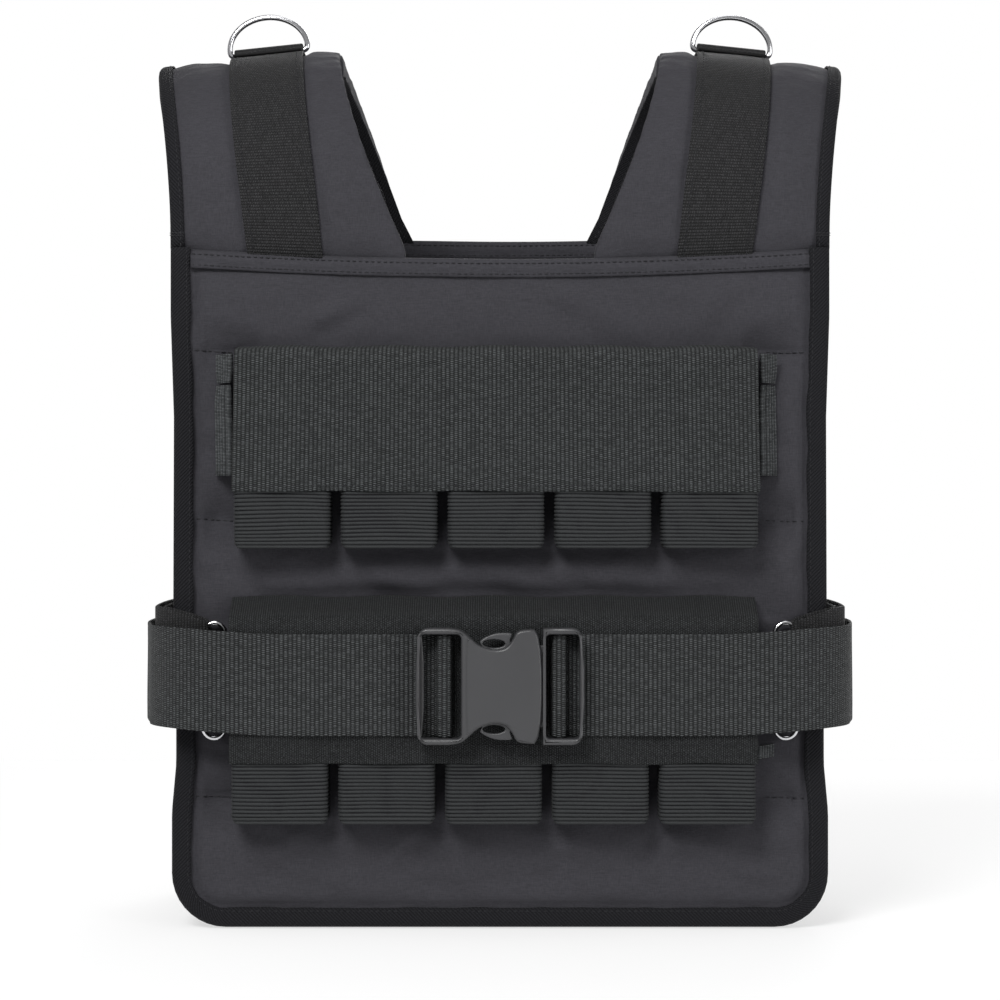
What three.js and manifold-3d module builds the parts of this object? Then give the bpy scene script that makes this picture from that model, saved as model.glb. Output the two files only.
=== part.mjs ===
// A weighted vest: two padded panels joined over the shoulders, two rows of weight sleeves
// under flaps on the front, and a waist belt with a side-release buckle.
// Millimetres. X runs to the right as seen from the front, Z is up, the front faces -Y,
// and Y = 0 lies midway between the two panels until the last lines centre the vest.
import * as THREE from 'three';
import Module from 'manifold-3d';
import { mergeVertices } from 'three/addons/utils/BufferGeometryUtils.js';

// Fits and cloths
const GAP = 0.3;
const TAPE = 1.2;
const WEBBING = 1.5;

// Panels
const BODY_DEPTH = 150;
const PANEL_WIDTH = 329;
const PANEL_THICKNESS = 20;
const PANEL_EDGE = 14;
const PANEL_CORNER = 27;
const FRONT_HEIGHT = 340.5;
const BACK_HEIGHT = 362;
const NECKLINE_SAG = 5.5;
const BINDING_WIDTH = 10;
const HEM_HEIGHT = 9.5;
const PUFF_RUN = 14;
const SEAM_DEPTH = 3;
const SEAM_WIDTH = 14;
const SEAM_UNDER_FLAP = 3;
const SEAM_OVER_FOOT = 11;

// Shoulders
const CREST_HEIGHT = 452;
const SHOULDER_DROP = 10;
const PAD_THICKNESS = 16;
const PAD_EDGE = 12;
const NECK_HALF_WIDTH = 46.5;
const NECK_FLARE = 36;
const ARM_HALF_WIDTH = 165.3;
const ARM_FLARE = 13;
const ARM_FLARE_POWER = 2.2;
const SHOULDER_BINDING_WIDTH = 7;

// Shoulder webbing, its loop and the D-ring
const STRAP_WIDTH = 38;
const STRAP_AT_CHEST = 107.5;
const STRAP_AT_CREST = 121.6;
const LOOP_WIDTH = 36.4;
const LOOP_REACH = 17;
const LOOP_PRESS = 1.8;
const LOOP_BEND = 1;
const LOOP_ARC_END = 22;
const LOOP_PRESS_TURN = 34;
const D_RING_WIDTH = 44;
const D_RING_RISE = 20.5;
const D_RING_WIRE = 3;
const D_RING_CORNER = 2.5;

// Weights, sleeves and flaps
const BAR_WIDTH = 44.5;
const BAR_DEPTH = 18;
const BAR_HEIGHT = 90;
const BAR_BEVEL = 2;
const SLEEVE_CORNER = 3;
const SLEEVE_HEADROOM = 2.2;
const SLEEVE_PITCH = 52.8;
const SLEEVES_IN_ROW = 5;
const FLAP_THICKNESS = 1.8;
const FLAP_OVERHANG = 0.6;
const FLAP_FOLD = 5;
const FLAP_WAVE = { depth: 1, run: 8 };
// Heights of a row's flap and elastics are over the row's base.
const UPPER_ROW = { base: 190, shift: -2, flapTop: 101.5, flapFoot: 28, slope: 2 };
const LOWER_ROW = { base: 54, shift: -3.2, flapTop: 113, flapFoot: 30, slope: 9 };
const ELASTIC = { thickness: 1.5, reach: 8.5, clearOfRow: 1.2 };
const UPPER_ELASTICS = { high: { low: 82, high: 96.5 }, low: { low: 36, high: 81 } };
const LOWER_ELASTIC = { low: 32, high: 38.5 };

// Belt and side straps
const BELT_WIDTH = 50;
const BELT_BASE = 98;
const BELT_SIDE = 176;
const BELT_BULGE = 7;
const BELT_TURN = 40;
const STRAP_SIDE = 172.6;
const STRAP_BULGE = 3;
const STRAP_TURN = 15;
const INNER_STRAP_TURN = 5.8;
const STRAP_SPACING = 4.6;
const STRAP_END = 118;
const SIDE_STRAP_WIDTH = 46;
const SIDE_STRAP_RISE = 14;
const SIDE_RING = { width: 13.4, height: 60, wire: 2.4, centre: 142.4, lift: 1 };
const TAB_WIDTH = 44;
const TAB_REACH = 2.6;

// Buckle: lengths along the belt from its middle, and heights from the belt's middle
const BUCKLE_HEIGHT = 57;
const BUCKLE_DEPTH = 12;
const FRAME_RIM = 3.1;
const FRAME_END = 2.3;
const FRAME_CORNER = 5;
const SOCKET_FRAME = { outer: 41.2, inner: 19, bar: 27.2 };
const PLUG_FRAME = { outer: 41.2, inner: 22.4, bar: 28.9 };
const CROSS_BAR = { width: 3.4, depth: 4.4, lift: 1.6 };
const BELT_FOLD = { cut: 0.7, tail: 0.9, rise: 2.2, lead: 2 };
const SOCKET_MOUTH = 20.6;
const MOUTH_HALF = 22;
const MOUTH_DEPTH = 33;
const CUT_OVERRUN = 1;
const PRONG_DEPTH = 5.4;
const BLADE = { reach: 12.4, rise: 20, guideReach: -8.9, guideRise: 3 };

// How many flats go round each ring's wire
const D_RING_FLATS = 8;
const SIDE_RING_FLATS = 6;

const half = (size) => size / 2;
const clamp01 = (share) => Math.min(1, Math.max(0, share));
const smooth = (share) => {
  const inside = clamp01(share);
  return inside * inside * (3 - 2 * inside);
};
const mix = (from, to, share) => from + (to - from) * share;
const steps = (count) => Array.from({ length: count + 1 }, (_, i) => i / count);
const flat = (x, y) => new THREE.Vector2(x, y);
const SIDES = [{ name: 'left', sign: -1 }, { name: 'right', sign: 1 }];

const wasm = await Module();
wasm.setup();

const vest = new THREE.Group();

const FINISHES = {
  padding: { color: 0x3c3b40, roughness: 0.85, metalness: 0 },
  webbing: { color: 0x2d2f2f, roughness: 0.8, metalness: 0 },
  tape: { color: 0x26262a, roughness: 0.85, metalness: 0 },
  elastic: { color: 0x2a2b2c, roughness: 0.8, metalness: 0 },
  plastic: { color: 0x565759, roughness: 0.5, metalness: 0 },
  steel: { color: 0xc8c9cb, roughness: 0.2, metalness: 1 },
  iron: { color: 0x3a3a3c, roughness: 0.6, metalness: 0.8 },
};

function add(name, geometry, finish, parent = vest) {
  const mesh = new THREE.Mesh(geometry, new THREE.MeshStandardMaterial(FINISHES[finish]));
  mesh.name = name;
  parent.add(mesh);
  return mesh;
}

function volumeOf(geometry) {
  const corners = geometry.attributes.position;
  const index = geometry.index.array;
  const [a, b, c] = [new THREE.Vector3(), new THREE.Vector3(), new THREE.Vector3()];
  let volume = 0;
  for (let i = 0; i < index.length; i += 3) {
    a.fromBufferAttribute(corners, index[i]);
    b.fromBufferAttribute(corners, index[i + 1]);
    c.fromBufferAttribute(corners, index[i + 2]);
    volume += a.dot(b.cross(c)) / 6;
  }
  return volume;
}

function facingOut(geometry) {
  if (volumeOf(geometry) < 0) geometry.setIndex([...geometry.index.array].reverse());
  return geometry;
}

// A closed body through one ring of corners for each station. The outline is the ring's
// flat shape, there and back along two sides, and place(station, corner) puts a corner of it
// in space. The ends are closed between corners that lie opposite each other.
function loft(stations, outline, place, closed = false) {
  const ring = THREE.ShapeUtils.isClockWise(outline) ? [...outline].reverse() : outline;
  const positions = [];
  for (const station of stations) {
    for (const corner of ring) positions.push(...place(station, corner).toArray());
  }
  const count = ring.length;
  const index = [];
  const spans = closed ? stations.length : stations.length - 1;
  for (let i = 0; i < spans; i++) {
    const near = i * count;
    const far = ((i + 1) % stations.length) * count;
    for (let j = 0; j < count; j++) {
      const next = (j + 1) % count;
      index.push(near + j, near + next, far + next, near + j, far + next, far + j);
    }
  }
  if (!closed) {
    const last = (stations.length - 1) * count;
    for (let a = 0; a < count / 2 - 1; a++) {
      const [b, c, d] = [a + 1, count - 2 - a, count - 1 - a];
      index.push(c, b, a, d, c, a, last + a, last + b, last + c, last + a, last + c, last + d);
    }
  }
  const geometry = new THREE.BufferGeometry();
  geometry.setAttribute('position', new THREE.Float32BufferAttribute(positions, 3));
  geometry.setIndex(index);
  return facingOut(geometry);
}

function joined(geometry) {
  const plain = geometry.clone();
  plain.deleteAttribute('normal');
  plain.deleteAttribute('uv');
  return mergeVertices(plain);
}

function solidOf(geometry) {
  const { attributes, index } = joined(geometry);
  const vertProperties = new Float32Array(attributes.position.array);
  const triVerts = new Uint32Array(index.array);
  return new wasm.Manifold(new wasm.Mesh({ numProp: 3, vertProperties, triVerts }));
}

function geometryOf(solid) {
  const { vertProperties, triVerts } = solid.getMesh();
  const geometry = new THREE.BufferGeometry();
  geometry.setAttribute('position', new THREE.Float32BufferAttribute(vertProperties, 3));
  geometry.setIndex([...triVerts]);
  return geometry;
}

// Points on an arc, in degrees, both ends included.
function arc(x, y, radius, from, to, count) {
  return steps(count).map((share) => {
    const turn = THREE.MathUtils.degToRad(mix(from, to, share));
    return flat(x + radius * Math.cos(turn), y + radius * Math.sin(turn));
  });
}

// The outline of a strap whose middle line is a list of points.
function strapOutline(line, thickness) {
  const sides = [[], []];
  line.forEach((point, i) => {
    const before = point.clone().sub(line[Math.max(0, i - 1)]).normalize();
    const after = line[Math.min(line.length - 1, i + 1)].clone().sub(point).normalize();
    const along = before.clone().add(after).normalize();
    const across = flat(-along.y, along.x);
    const lean = Math.max(before.length() ? across.dot(flat(-before.y, before.x)) : 1, 0.5);
    const reach = half(thickness) / lean;
    sides[0].push(point.clone().addScaledVector(across, reach));
    sides[1].unshift(point.clone().addScaledVector(across, -reach));
  });
  return [...sides[0], ...sides[1]];
}

// A channel folded over an edge: a is the way in from the edge, b the way through it.
function channel(width, edge, wall) {
  const inner = half(edge) + GAP;
  const outer = inner + wall;
  return [
    flat(width, -outer), flat(0, -outer), flat(0, outer), flat(width, outer),
    flat(width, inner), flat(wall, inner), flat(wall, -inner), flat(width, -inner),
  ];
}

// Panels. The side line says how far each height's half width strays from the full one.
const SIDE_LINE = [
  [0, 1], [0.17, 1], [0.24, 0.987], [0.31, 0.987], [0.45, 0.996], [0.75, 0.994],
  [0.9, 1.004], [1, 1.004],
];
const CORNER_TURNS = [0, 22.5, 45, 67.5, 90];
const BOUND = TAPE + GAP;
const PANELS = {
  front: { middle: -half(BODY_DEPTH), out: -1, height: FRONT_HEIGHT },
  back: { middle: half(BODY_DEPTH), out: 1, height: BACK_HEIGHT },
};

function halfWidthAt(height) {
  const share = clamp01(height / FRONT_HEIGHT);
  const next = SIDE_LINE.findIndex(([at]) => at >= share);
  if (next <= 0) return half(PANEL_WIDTH) * SIDE_LINE[0][1];
  const [low, lowWidth] = SIDE_LINE[next - 1];
  const [high, highWidth] = SIDE_LINE[next];
  return half(PANEL_WIDTH) * mix(lowWidth, highWidth, (share - low) / (high - low));
}

// Half width of the panel's outline at a height, a given distance inside the bound edge.
function outlineHalf(height, inset) {
  const below = Math.max(0, PANEL_CORNER - height);
  const radius = PANEL_CORNER - inset;
  const turn = radius - Math.sqrt(Math.max(0, radius * radius - below * below));
  return halfWidthAt(height) - inset - turn;
}

function distanceToEdge(x, z) {
  const side = halfWidthAt(z) - Math.abs(x);
  const cornerX = half(PANEL_WIDTH) - PANEL_CORNER;
  if (z >= PANEL_CORNER || Math.abs(x) <= cornerX) return Math.min(side, z);
  return PANEL_CORNER - Math.hypot(Math.abs(x) - cornerX, PANEL_CORNER - z);
}

const necklineAt = (height, x) => {
  const share = Math.min(1, Math.abs(x) / half(PANEL_WIDTH));
  return height - NECKLINE_SAG * (1 - share * share);
};

const QUILT_SEAMS = [
  UPPER_ROW.base + UPPER_ROW.flapTop - SEAM_UNDER_FLAP, UPPER_ROW.base + SEAM_WIDTH,
  LOWER_ROW.base + SEAM_OVER_FOOT,
];
const COLUMNS = [1, 0.935, 0.895, 0.855, 0.82, 0.7, 0.45, 0];
const BETWEEN_SEAMS = [40, 130, 172, 246, 308];

function panelRows(height) {
  const corner = CORNER_TURNS.map((turn) => {
    const radius = PANEL_CORNER - BOUND;
    return PANEL_CORNER - radius * Math.cos(THREE.MathUtils.degToRad(turn));
  });
  const seams = QUILT_SEAMS.flatMap((z) => [z - half(SEAM_WIDTH), z, z + half(SEAM_WIDTH)]);
  const bends = SIDE_LINE.map(([share]) => share * FRONT_HEIGHT);
  const rows = [...seams, ...bends, ...BETWEEN_SEAMS].filter((z) => z > PANEL_CORNER + 1);
  const top = height - HEM_HEIGHT - BOUND;
  const inner = rows.filter((z) => z < top - PUFF_RUN - 1);
  const sorted = [...corner, ...inner].sort((a, b) => a - b);
  return [...sorted, top - PUFF_RUN, top - half(PUFF_RUN), top, height];
}

// How deep a quilting seam presses in at a point: the whole width on the back panel, and
// only beside the rows of sleeves on the front.
function seamPress(out, x, z) {
  const beside = Math.abs(x) - half((SLEEVES_IN_ROW - 1) * SLEEVE_PITCH + BAR_WIDTH);
  const reach = out > 0 ? 1 : smooth(beside / PUFF_RUN);
  const nearest = Math.min(...QUILT_SEAMS.map((seam) => Math.abs(z - seam)));
  return SEAM_DEPTH * reach * (1 - smooth(nearest / half(SEAM_WIDTH)));
}

// Half the panel's thickness: thin in the bound edges and the hem, and full between them.
function panelFace(press, x, z, underHem) {
  const clear = Math.min(distanceToEdge(x, z) - BINDING_WIDTH - BOUND, underHem - BOUND);
  const swell = Math.max(0, half(PANEL_THICKNESS) - press - half(PANEL_EDGE));
  return half(PANEL_EDGE) + swell * smooth(clear / PUFF_RUN);
}

function padded(panel) {
  const { middle, out, height } = panel;
  const across = [...COLUMNS.map((u) => -u), ...COLUMNS.slice(0, -1).reverse()];
  const ring = [
    ...across.map((u) => flat(u, 1)),
    ...[...across].reverse().map((u) => flat(u, -1)),
  ];
  const sagFrom = height - HEM_HEIGHT - 3 * PUFF_RUN;
  const sagTo = height - HEM_HEIGHT - PUFF_RUN - BOUND;
  return loft(panelRows(height), ring, (row, { x: u, y: face }) => {
    const x = u * outlineHalf(row, BOUND);
    const sag = (height - necklineAt(height, x)) * clamp01((row - sagFrom) / (sagTo - sagFrom));
    const z = row - sag - (row === height ? BOUND : 0);
    const press = face > 0 ? seamPress(out, x, z) : 0;
    const lift = panelFace(press, x, z, height - HEM_HEIGHT - row);
    return new THREE.Vector3(x, middle + out * face * lift, z);
  });
}

// Stations down one side of the outline, round the lower corners and up the other side.
function edgeStations(height) {
  const bends = SIDE_LINE.map(([share]) => share * FRONT_HEIGHT)
    .filter((z) => z > PANEL_CORNER + 1 && z < height);
  const down = [...bends, height].sort((a, b) => b - a);
  const side = down.map((z) => ({ x: halfWidthAt(z), z, turn: 90 }));
  const corner = [...CORNER_TURNS].reverse().map((turn) => {
    const angle = THREE.MathUtils.degToRad(turn);
    const x = half(PANEL_WIDTH) - PANEL_CORNER + PANEL_CORNER * Math.sin(angle);
    return { x, z: PANEL_CORNER - PANEL_CORNER * Math.cos(angle), turn };
  });
  const right = [...side, ...corner];
  const left = right.map(({ x, z, turn }) => ({ x: -x, z, turn: -turn })).reverse();
  return [...right, ...left];
}

function edgeBinding({ middle, height }) {
  const section = channel(BINDING_WIDTH, PANEL_EDGE, TAPE);
  return loft(edgeStations(height), section, ({ x, z, turn }, { x: inward, y: through }) => {
    const angle = THREE.MathUtils.degToRad(turn);
    const inX = x - inward * Math.sin(angle);
    return new THREE.Vector3(inX, middle + through, z + inward * Math.cos(angle));
  });
}

function hem({ middle, height }) {
  const section = channel(HEM_HEIGHT, PANEL_EDGE, TAPE);
  const reach = halfWidthAt(height) - BINDING_WIDTH - GAP;
  const columns = COLUMNS.map((u) => u * outlineHalf(height, BOUND)).filter((x) => x < reach - 1);
  const stations = [reach, ...columns, ...columns.slice(0, -1).map((x) => -x).reverse(), -reach];
  return loft(stations, section, (x, { x: inward, y: through }) => (
    new THREE.Vector3(x, middle + through, necklineAt(height, x) - inward)
  ));
}

// The shoulder's middle surface: up from the front panel, over the crest and down behind.
const ARCH_RADIUS = half(BODY_DEPTH);
const ARCH_HEIGHT = CREST_HEIGHT - half(PAD_THICKNESS) - ARCH_RADIUS;
const ARCH_TURNS = [0, 14, 28, 42, 56, 69, 80, 90, 100, 111, 124, 138, 152, 166, 180];
const SHOULDER_STATIONS = [
  { foot: 'front', turn: 0, leg: 1 },
  { foot: 'front', turn: 0, leg: 0.5 },
  ...ARCH_TURNS.map((turn) => ({ turn, leg: 0 })),
  { foot: 'back', turn: 180, leg: 1 },
];

const riseOf = (z) => clamp01((z - FRONT_HEIGHT) / (CREST_HEIGHT - FRONT_HEIGHT));
const neckAt = (rise) => NECK_HALF_WIDTH + NECK_FLARE * rise;
const armAt = (rise) => ARM_HALF_WIDTH + ARM_FLARE * rise ** ARM_FLARE_POWER;
const strapAt = (rise) => mix(STRAP_AT_CHEST, STRAP_AT_CREST, rise);

// What a foot of the shoulder stands on: the hem's fold, or the end of the edge binding.
function footHeight(height, x) {
  const bound = halfWidthAt(height) - BINDING_WIDTH - GAP;
  return (x > bound - GAP ? height : necklineAt(height, x)) + GAP;
}

// A point of the shoulder: acrossAt(rise) gives its distance from the middle of the neck,
// and lift is its height over the middle surface.
function shoulderPoint({ foot, turn, leg }, acrossAt, lift, sign) {
  const angle = THREE.MathUtils.degToRad(turn);
  const out = flat(-Math.cos(angle), Math.sin(angle));
  const y = out.x * (ARCH_RADIUS + lift);
  const bend = ARCH_HEIGHT + out.y * (ARCH_RADIUS + lift);
  const middle = ARCH_HEIGHT + out.y * (ARCH_RADIUS + half(PAD_THICKNESS));
  const rise = riseOf(foot ? mix(ARCH_HEIGHT, FRONT_HEIGHT, leg) : middle);
  const x = acrossAt(rise);
  const share = (x - neckAt(rise)) / (armAt(rise) - neckAt(rise));
  const floor = foot ? footHeight(PANELS[foot].height, x) : 0;
  const z = foot ? mix(ARCH_HEIGHT, floor, leg) : bend;
  return new THREE.Vector3(sign * x, y, z - SHOULDER_DROP * share * rise * (foot ? 1 - leg : 1));
}

// The loop that holds the D-ring presses the pad and the webbing in at the crest.
const pressAt = ({ turn }) => LOOP_PRESS * smooth(1 - Math.abs(turn - 90) / LOOP_PRESS_TURN);

const PAD_COLUMNS = [
  { at: (rise) => neckAt(rise), lift: half(PAD_EDGE) },
  { at: (rise) => neckAt(rise) + SHOULDER_BINDING_WIDTH, lift: half(PAD_EDGE) },
  { at: (rise) => neckAt(rise) + 2 * SHOULDER_BINDING_WIDTH, lift: half(PAD_THICKNESS) },
  { at: (rise) => strapAt(rise) - half(STRAP_WIDTH), lift: half(PAD_THICKNESS), pressed: 1 },
  { at: (rise) => strapAt(rise) + half(STRAP_WIDTH), lift: half(PAD_THICKNESS), pressed: 1 },
  { at: (rise) => armAt(rise) - 2 * SHOULDER_BINDING_WIDTH, lift: half(PAD_THICKNESS) },
  { at: (rise) => armAt(rise) - SHOULDER_BINDING_WIDTH - BOUND, lift: half(PAD_EDGE) },
  { at: (rise) => armAt(rise) - BOUND, lift: half(PAD_EDGE) },
];

function shoulderPad(sign) {
  const ring = [
    ...PAD_COLUMNS.map((_, column) => flat(column, 1)),
    ...PAD_COLUMNS.map((_, column) => flat(column, -1)).reverse(),
  ];
  return loft(SHOULDER_STATIONS, ring, (station, { x: column, y: face }) => {
    const { at, lift, pressed = 0 } = PAD_COLUMNS[column];
    const press = face > 0 ? pressed * pressAt(station) : 0;
    return shoulderPoint(station, at, face * lift - press, sign);
  });
}

function shoulderBinding(sign) {
  const section = channel(SHOULDER_BINDING_WIDTH, PAD_EDGE, TAPE);
  return loft(SHOULDER_STATIONS, section, (station, { x: inward, y: through }) => (
    shoulderPoint(station, (rise) => armAt(rise) - inward, through, sign)
  ));
}

function neckFacing(sign) {
  const top = -half(PAD_EDGE) - GAP;
  const section = [flat(0, top), flat(1, top), flat(1, top - TAPE), flat(0, top - TAPE)];
  return loft(SHOULDER_STATIONS, section, (station, { x: share, y: lift }) => (
    shoulderPoint(station, (rise) => neckAt(rise) + share * SHOULDER_BINDING_WIDTH, lift, sign)
  ));
}

const STRAP_LIFT = half(PAD_THICKNESS) + GAP;

function shoulderWebbing(sign) {
  const low = STRAP_LIFT;
  const section = [flat(-1, low), flat(1, low), flat(1, low + WEBBING), flat(-1, low + WEBBING)];
  return loft(SHOULDER_STATIONS, section, (station, { x: edge, y: lift }) => {
    const at = (rise) => strapAt(rise) + edge * half(STRAP_WIDTH);
    return shoulderPoint(station, at, lift - pressAt(station), sign);
  });
}

// At the crest the loop is a short folded strap over the D-ring's bar, in a leaning group.
const CREST = SHOULDER_STATIONS.find(({ turn }) => turn === 90);
const BAR_CLEARANCE = 0.6;
const BAR_SEAT = half(D_RING_WIRE) + GAP;

// How far the webbing's top falls away from the crest, over a distance along the shoulder.
function fallAt(distance) {
  const tops = ARCH_TURNS.filter((turn) => turn >= 90).map((turn) => {
    const radius = ARCH_RADIUS + STRAP_LIFT + WEBBING - pressAt({ turn });
    const angle = THREE.MathUtils.degToRad(turn - 90);
    return flat(radius * Math.sin(angle), radius * Math.cos(angle));
  });
  const next = tops.findIndex(({ x }) => x >= distance);
  if (next <= 0) return 0;
  const [near, far] = [tops[next - 1], tops[next]];
  const top = mix(near.y, far.y, (distance - near.x) / (far.x - near.x));
  return tops[0].y - top;
}

function loopOutline() {
  const ridge = half(D_RING_WIRE) + BAR_CLEARANCE + half(WEBBING);
  const beside = ridge + WEBBING + LOOP_BEND;
  const leg = [beside, mix(beside, LOOP_REACH, 0.7), LOOP_REACH].map((distance) => (
    flat(distance, GAP + half(WEBBING) - BAR_SEAT - fallAt(distance))
  ));
  const mirrored = leg.map(({ x, y }) => flat(-x, y)).reverse();
  const over = arc(0, 0, ridge, 180 - LOOP_ARC_END, LOOP_ARC_END, 8);
  return strapOutline([...mirrored, ...over, ...leg], WEBBING);
}

function ringLoop() {
  const ends = [-half(LOOP_WIDTH), half(LOOP_WIDTH)];
  return loft(ends, loopOutline(), (x, { x: y, y: z }) => new THREE.Vector3(x, y, z));
}

const wireSection = (wire, flats) => steps(flats).slice(1).map((share) => {
  const turn = (share + half(1 / flats)) * 2 * Math.PI;
  return flat(half(wire) * Math.cos(turn), half(wire) * Math.sin(turn));
});

// A closed wire ring in the XZ plane through a loop of points.
function wireRing(line, wire, flats) {
  const stations = line.map((point, i) => {
    const before = line[(i + line.length - 1) % line.length];
    const after = line[(i + 1) % line.length];
    const along = after.clone().sub(before).normalize();
    return { point, across: flat(-along.y, along.x) };
  });
  const section = wireSection(wire, flats);
  return loft(stations, section, ({ point, across }, { x: reach, y }) => (
    new THREE.Vector3(point.x + across.x * reach, y, point.y + across.y * reach)
  ), true);
}

function dRing() {
  const reach = half(D_RING_WIDTH - D_RING_WIRE);
  const rise = D_RING_RISE - half(D_RING_WIRE);
  const bow = steps(12).slice(1, -1).map((share) => {
    const turn = Math.PI * share;
    return flat(reach * Math.cos(turn), D_RING_CORNER + (rise - D_RING_CORNER) * Math.sin(turn));
  });
  const bar = arc(-reach + D_RING_CORNER, D_RING_CORNER, D_RING_CORNER, 180, 270, 3)
    .concat([flat(0, 0)])
    .concat(arc(reach - D_RING_CORNER, D_RING_CORNER, D_RING_CORNER, 270, 360, 3));
  return wireRing([...bow, ...bar], D_RING_WIRE, D_RING_FLATS);
}

for (const [name, panel] of Object.entries(PANELS)) {
  add(`${name}_panel`, padded(panel), 'padding');
  add(`${name}_binding`, edgeBinding(panel), 'tape');
}
add('chest_hem', hem(PANELS.front), 'padding');
add('back_hem', hem(PANELS.back), 'padding');

for (const { name, sign } of SIDES) {
  add(`shoulder_pad_${name}`, shoulderPad(sign), 'padding');
  add(`shoulder_binding_${name}`, shoulderBinding(sign), 'tape');
  add(`neck_facing_${name}`, neckFacing(sign), 'tape');
  add(`shoulder_webbing_${name}`, shoulderWebbing(sign), 'webbing');

  const edges = [-1, 1].map((edge) => shoulderPoint(
    CREST,
    (rise) => strapAt(rise) + edge * half(STRAP_WIDTH),
    STRAP_LIFT + WEBBING - LOOP_PRESS,
    sign,
  ));
  const crest = new THREE.Group();
  crest.position.copy(edges[0]).lerp(edges[1], 0.5);
  crest.rotation.y = -Math.atan2(edges[1].z - edges[0].z, edges[1].x - edges[0].x);
  if (sign < 0) crest.rotation.y -= Math.PI;
  const seat = new THREE.Group();
  seat.position.z = BAR_SEAT;
  crest.add(seat);
  vest.add(crest);
  add(`ring_loop_${name}`, ringLoop(), 'webbing', seat);
  add(`d_ring_${name}`, dRing(), 'steel', seat);
}

// Rows of sleeves on the front panel, each with its iron bar.
const PANEL_FACE = -half(BODY_DEPTH) - half(PANEL_THICKNESS);
const SLEEVE = {
  width: BAR_WIDTH + 2 * (GAP + WEBBING),
  depth: BAR_DEPTH + 2 * (GAP + WEBBING),
  height: BAR_HEIGHT + GAP + WEBBING + SLEEVE_HEADROOM,
};
const SLEEVE_FACE = PANEL_FACE - GAP - SLEEVE.depth;

// A plate in the XZ plane, its middle at X = 0 and its foot at Z = 0, extruded from y.
function plate(shape, y, depth) {
  const geometry = new THREE.ExtrudeGeometry(shape, { depth, bevelEnabled: false });
  return geometry.rotateX(Math.PI / 2).translate(0, y + depth, 0);
}

function roundFooted(width, height, corner) {
  const reach = half(width) - corner;
  return new THREE.Shape([
    ...arc(-reach, corner, corner, 180, 270, 3), ...arc(reach, corner, corner, 270, 360, 3),
    flat(half(width), height), flat(-half(width), height),
  ]);
}

function sleeve() {
  const outer = roundFooted(SLEEVE.width, SLEEVE.height, SLEEVE_CORNER);
  const inner = new THREE.BoxGeometry(
    SLEEVE.width - 2 * WEBBING,
    SLEEVE.depth - 2 * WEBBING,
    SLEEVE.height,
  ).translate(0, -half(SLEEVE.depth), half(SLEEVE.height) + WEBBING);
  return geometryOf(solidOf(plate(outer, -SLEEVE.depth, SLEEVE.depth)).subtract(solidOf(inner)));
}

function weightBar() {
  const [x, y] = [half(BAR_WIDTH), half(BAR_DEPTH)];
  const section = [
    flat(x, y - BAR_BEVEL), flat(x - BAR_BEVEL, y), flat(BAR_BEVEL - x, y), flat(-x, y - BAR_BEVEL),
    flat(-x, BAR_BEVEL - y), flat(BAR_BEVEL - x, -y), flat(x - BAR_BEVEL, -y), flat(x, BAR_BEVEL - y),
  ];
  return loft([0, BAR_HEIGHT], section, (z, corner) => new THREE.Vector3(corner.x, corner.y, z));
}

// A flap's middle line in the YZ plane, from its seam on the panel over the sleeves and down.
function flapLine({ base, flapTop, flapFoot, slope }) {
  const face = SLEEVE_FACE - GAP - half(FLAP_THICKNESS);
  const start = flat(PANEL_FACE - GAP - half(FLAP_THICKNESS), base + flapTop - half(FLAP_THICKNESS));
  const fold = arc(face + FLAP_FOLD, start.y - slope - FLAP_FOLD, FLAP_FOLD, 90, 180, 2);
  return [start, ...fold, flat(face, base + flapFoot)];
}

// The flap's edge waves a little where it passes over the gaps between the bars.
function flap(row) {
  const outline = strapOutline(flapLine(row), FLAP_THICKNESS);
  const reach = half((SLEEVES_IN_ROW - 1) * SLEEVE_PITCH + SLEEVE.width) + FLAP_OVERHANG;
  const stations = steps(20).map((share) => mix(-reach, reach, share));
  return loft(stations, outline, (x, { x: y, y: z }) => {
    const wave = half(1 - Math.cos(x / SLEEVE_PITCH * 2 * Math.PI));
    const nearTop = smooth((z - row.base - row.flapTop) / FLAP_WAVE.run + 1);
    return new THREE.Vector3(x + row.shift, y, z - FLAP_WAVE.depth * wave * nearTop);
  });
}

const ROWS = { upper: UPPER_ROW, lower: LOWER_ROW };
for (const [rowName, row] of Object.entries(ROWS)) {
  for (let i = 0; i < SLEEVES_IN_ROW; i++) {
    const x = row.shift + (i - half(SLEEVES_IN_ROW - 1)) * SLEEVE_PITCH;
    const pocket = add(`${rowName}_pocket_${i + 1}`, sleeve(), 'elastic');
    pocket.position.set(x, PANEL_FACE - GAP, row.base);
    const bar = add(`${rowName}_weight_${i + 1}`, weightBar(), 'iron');
    bar.position.set(x, PANEL_FACE - GAP - half(SLEEVE.depth), row.base + WEBBING + GAP);
  }
  add(`${rowName}_flap`, flap(row), 'webbing');
}

// Elastic strips lean from the panel towards the flap's edge beside each row.
function elastic(row, sign, { low, high }) {
  const edge = half((SLEEVES_IN_ROW - 1) * SLEEVE_PITCH + SLEEVE.width);
  const inner = edge + ELASTIC.clearOfRow;
  const line = [
    flat(sign * (inner + ELASTIC.reach) + row.shift, PANEL_FACE - GAP - half(ELASTIC.thickness)),
    flat(sign * inner + row.shift, SLEEVE_FACE + SLEEVE.depth / 4),
  ];
  return loft([low, high], strapOutline(line, ELASTIC.thickness), (z, corner) => (
    new THREE.Vector3(corner.x, corner.y, row.base + z)
  ));
}

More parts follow.
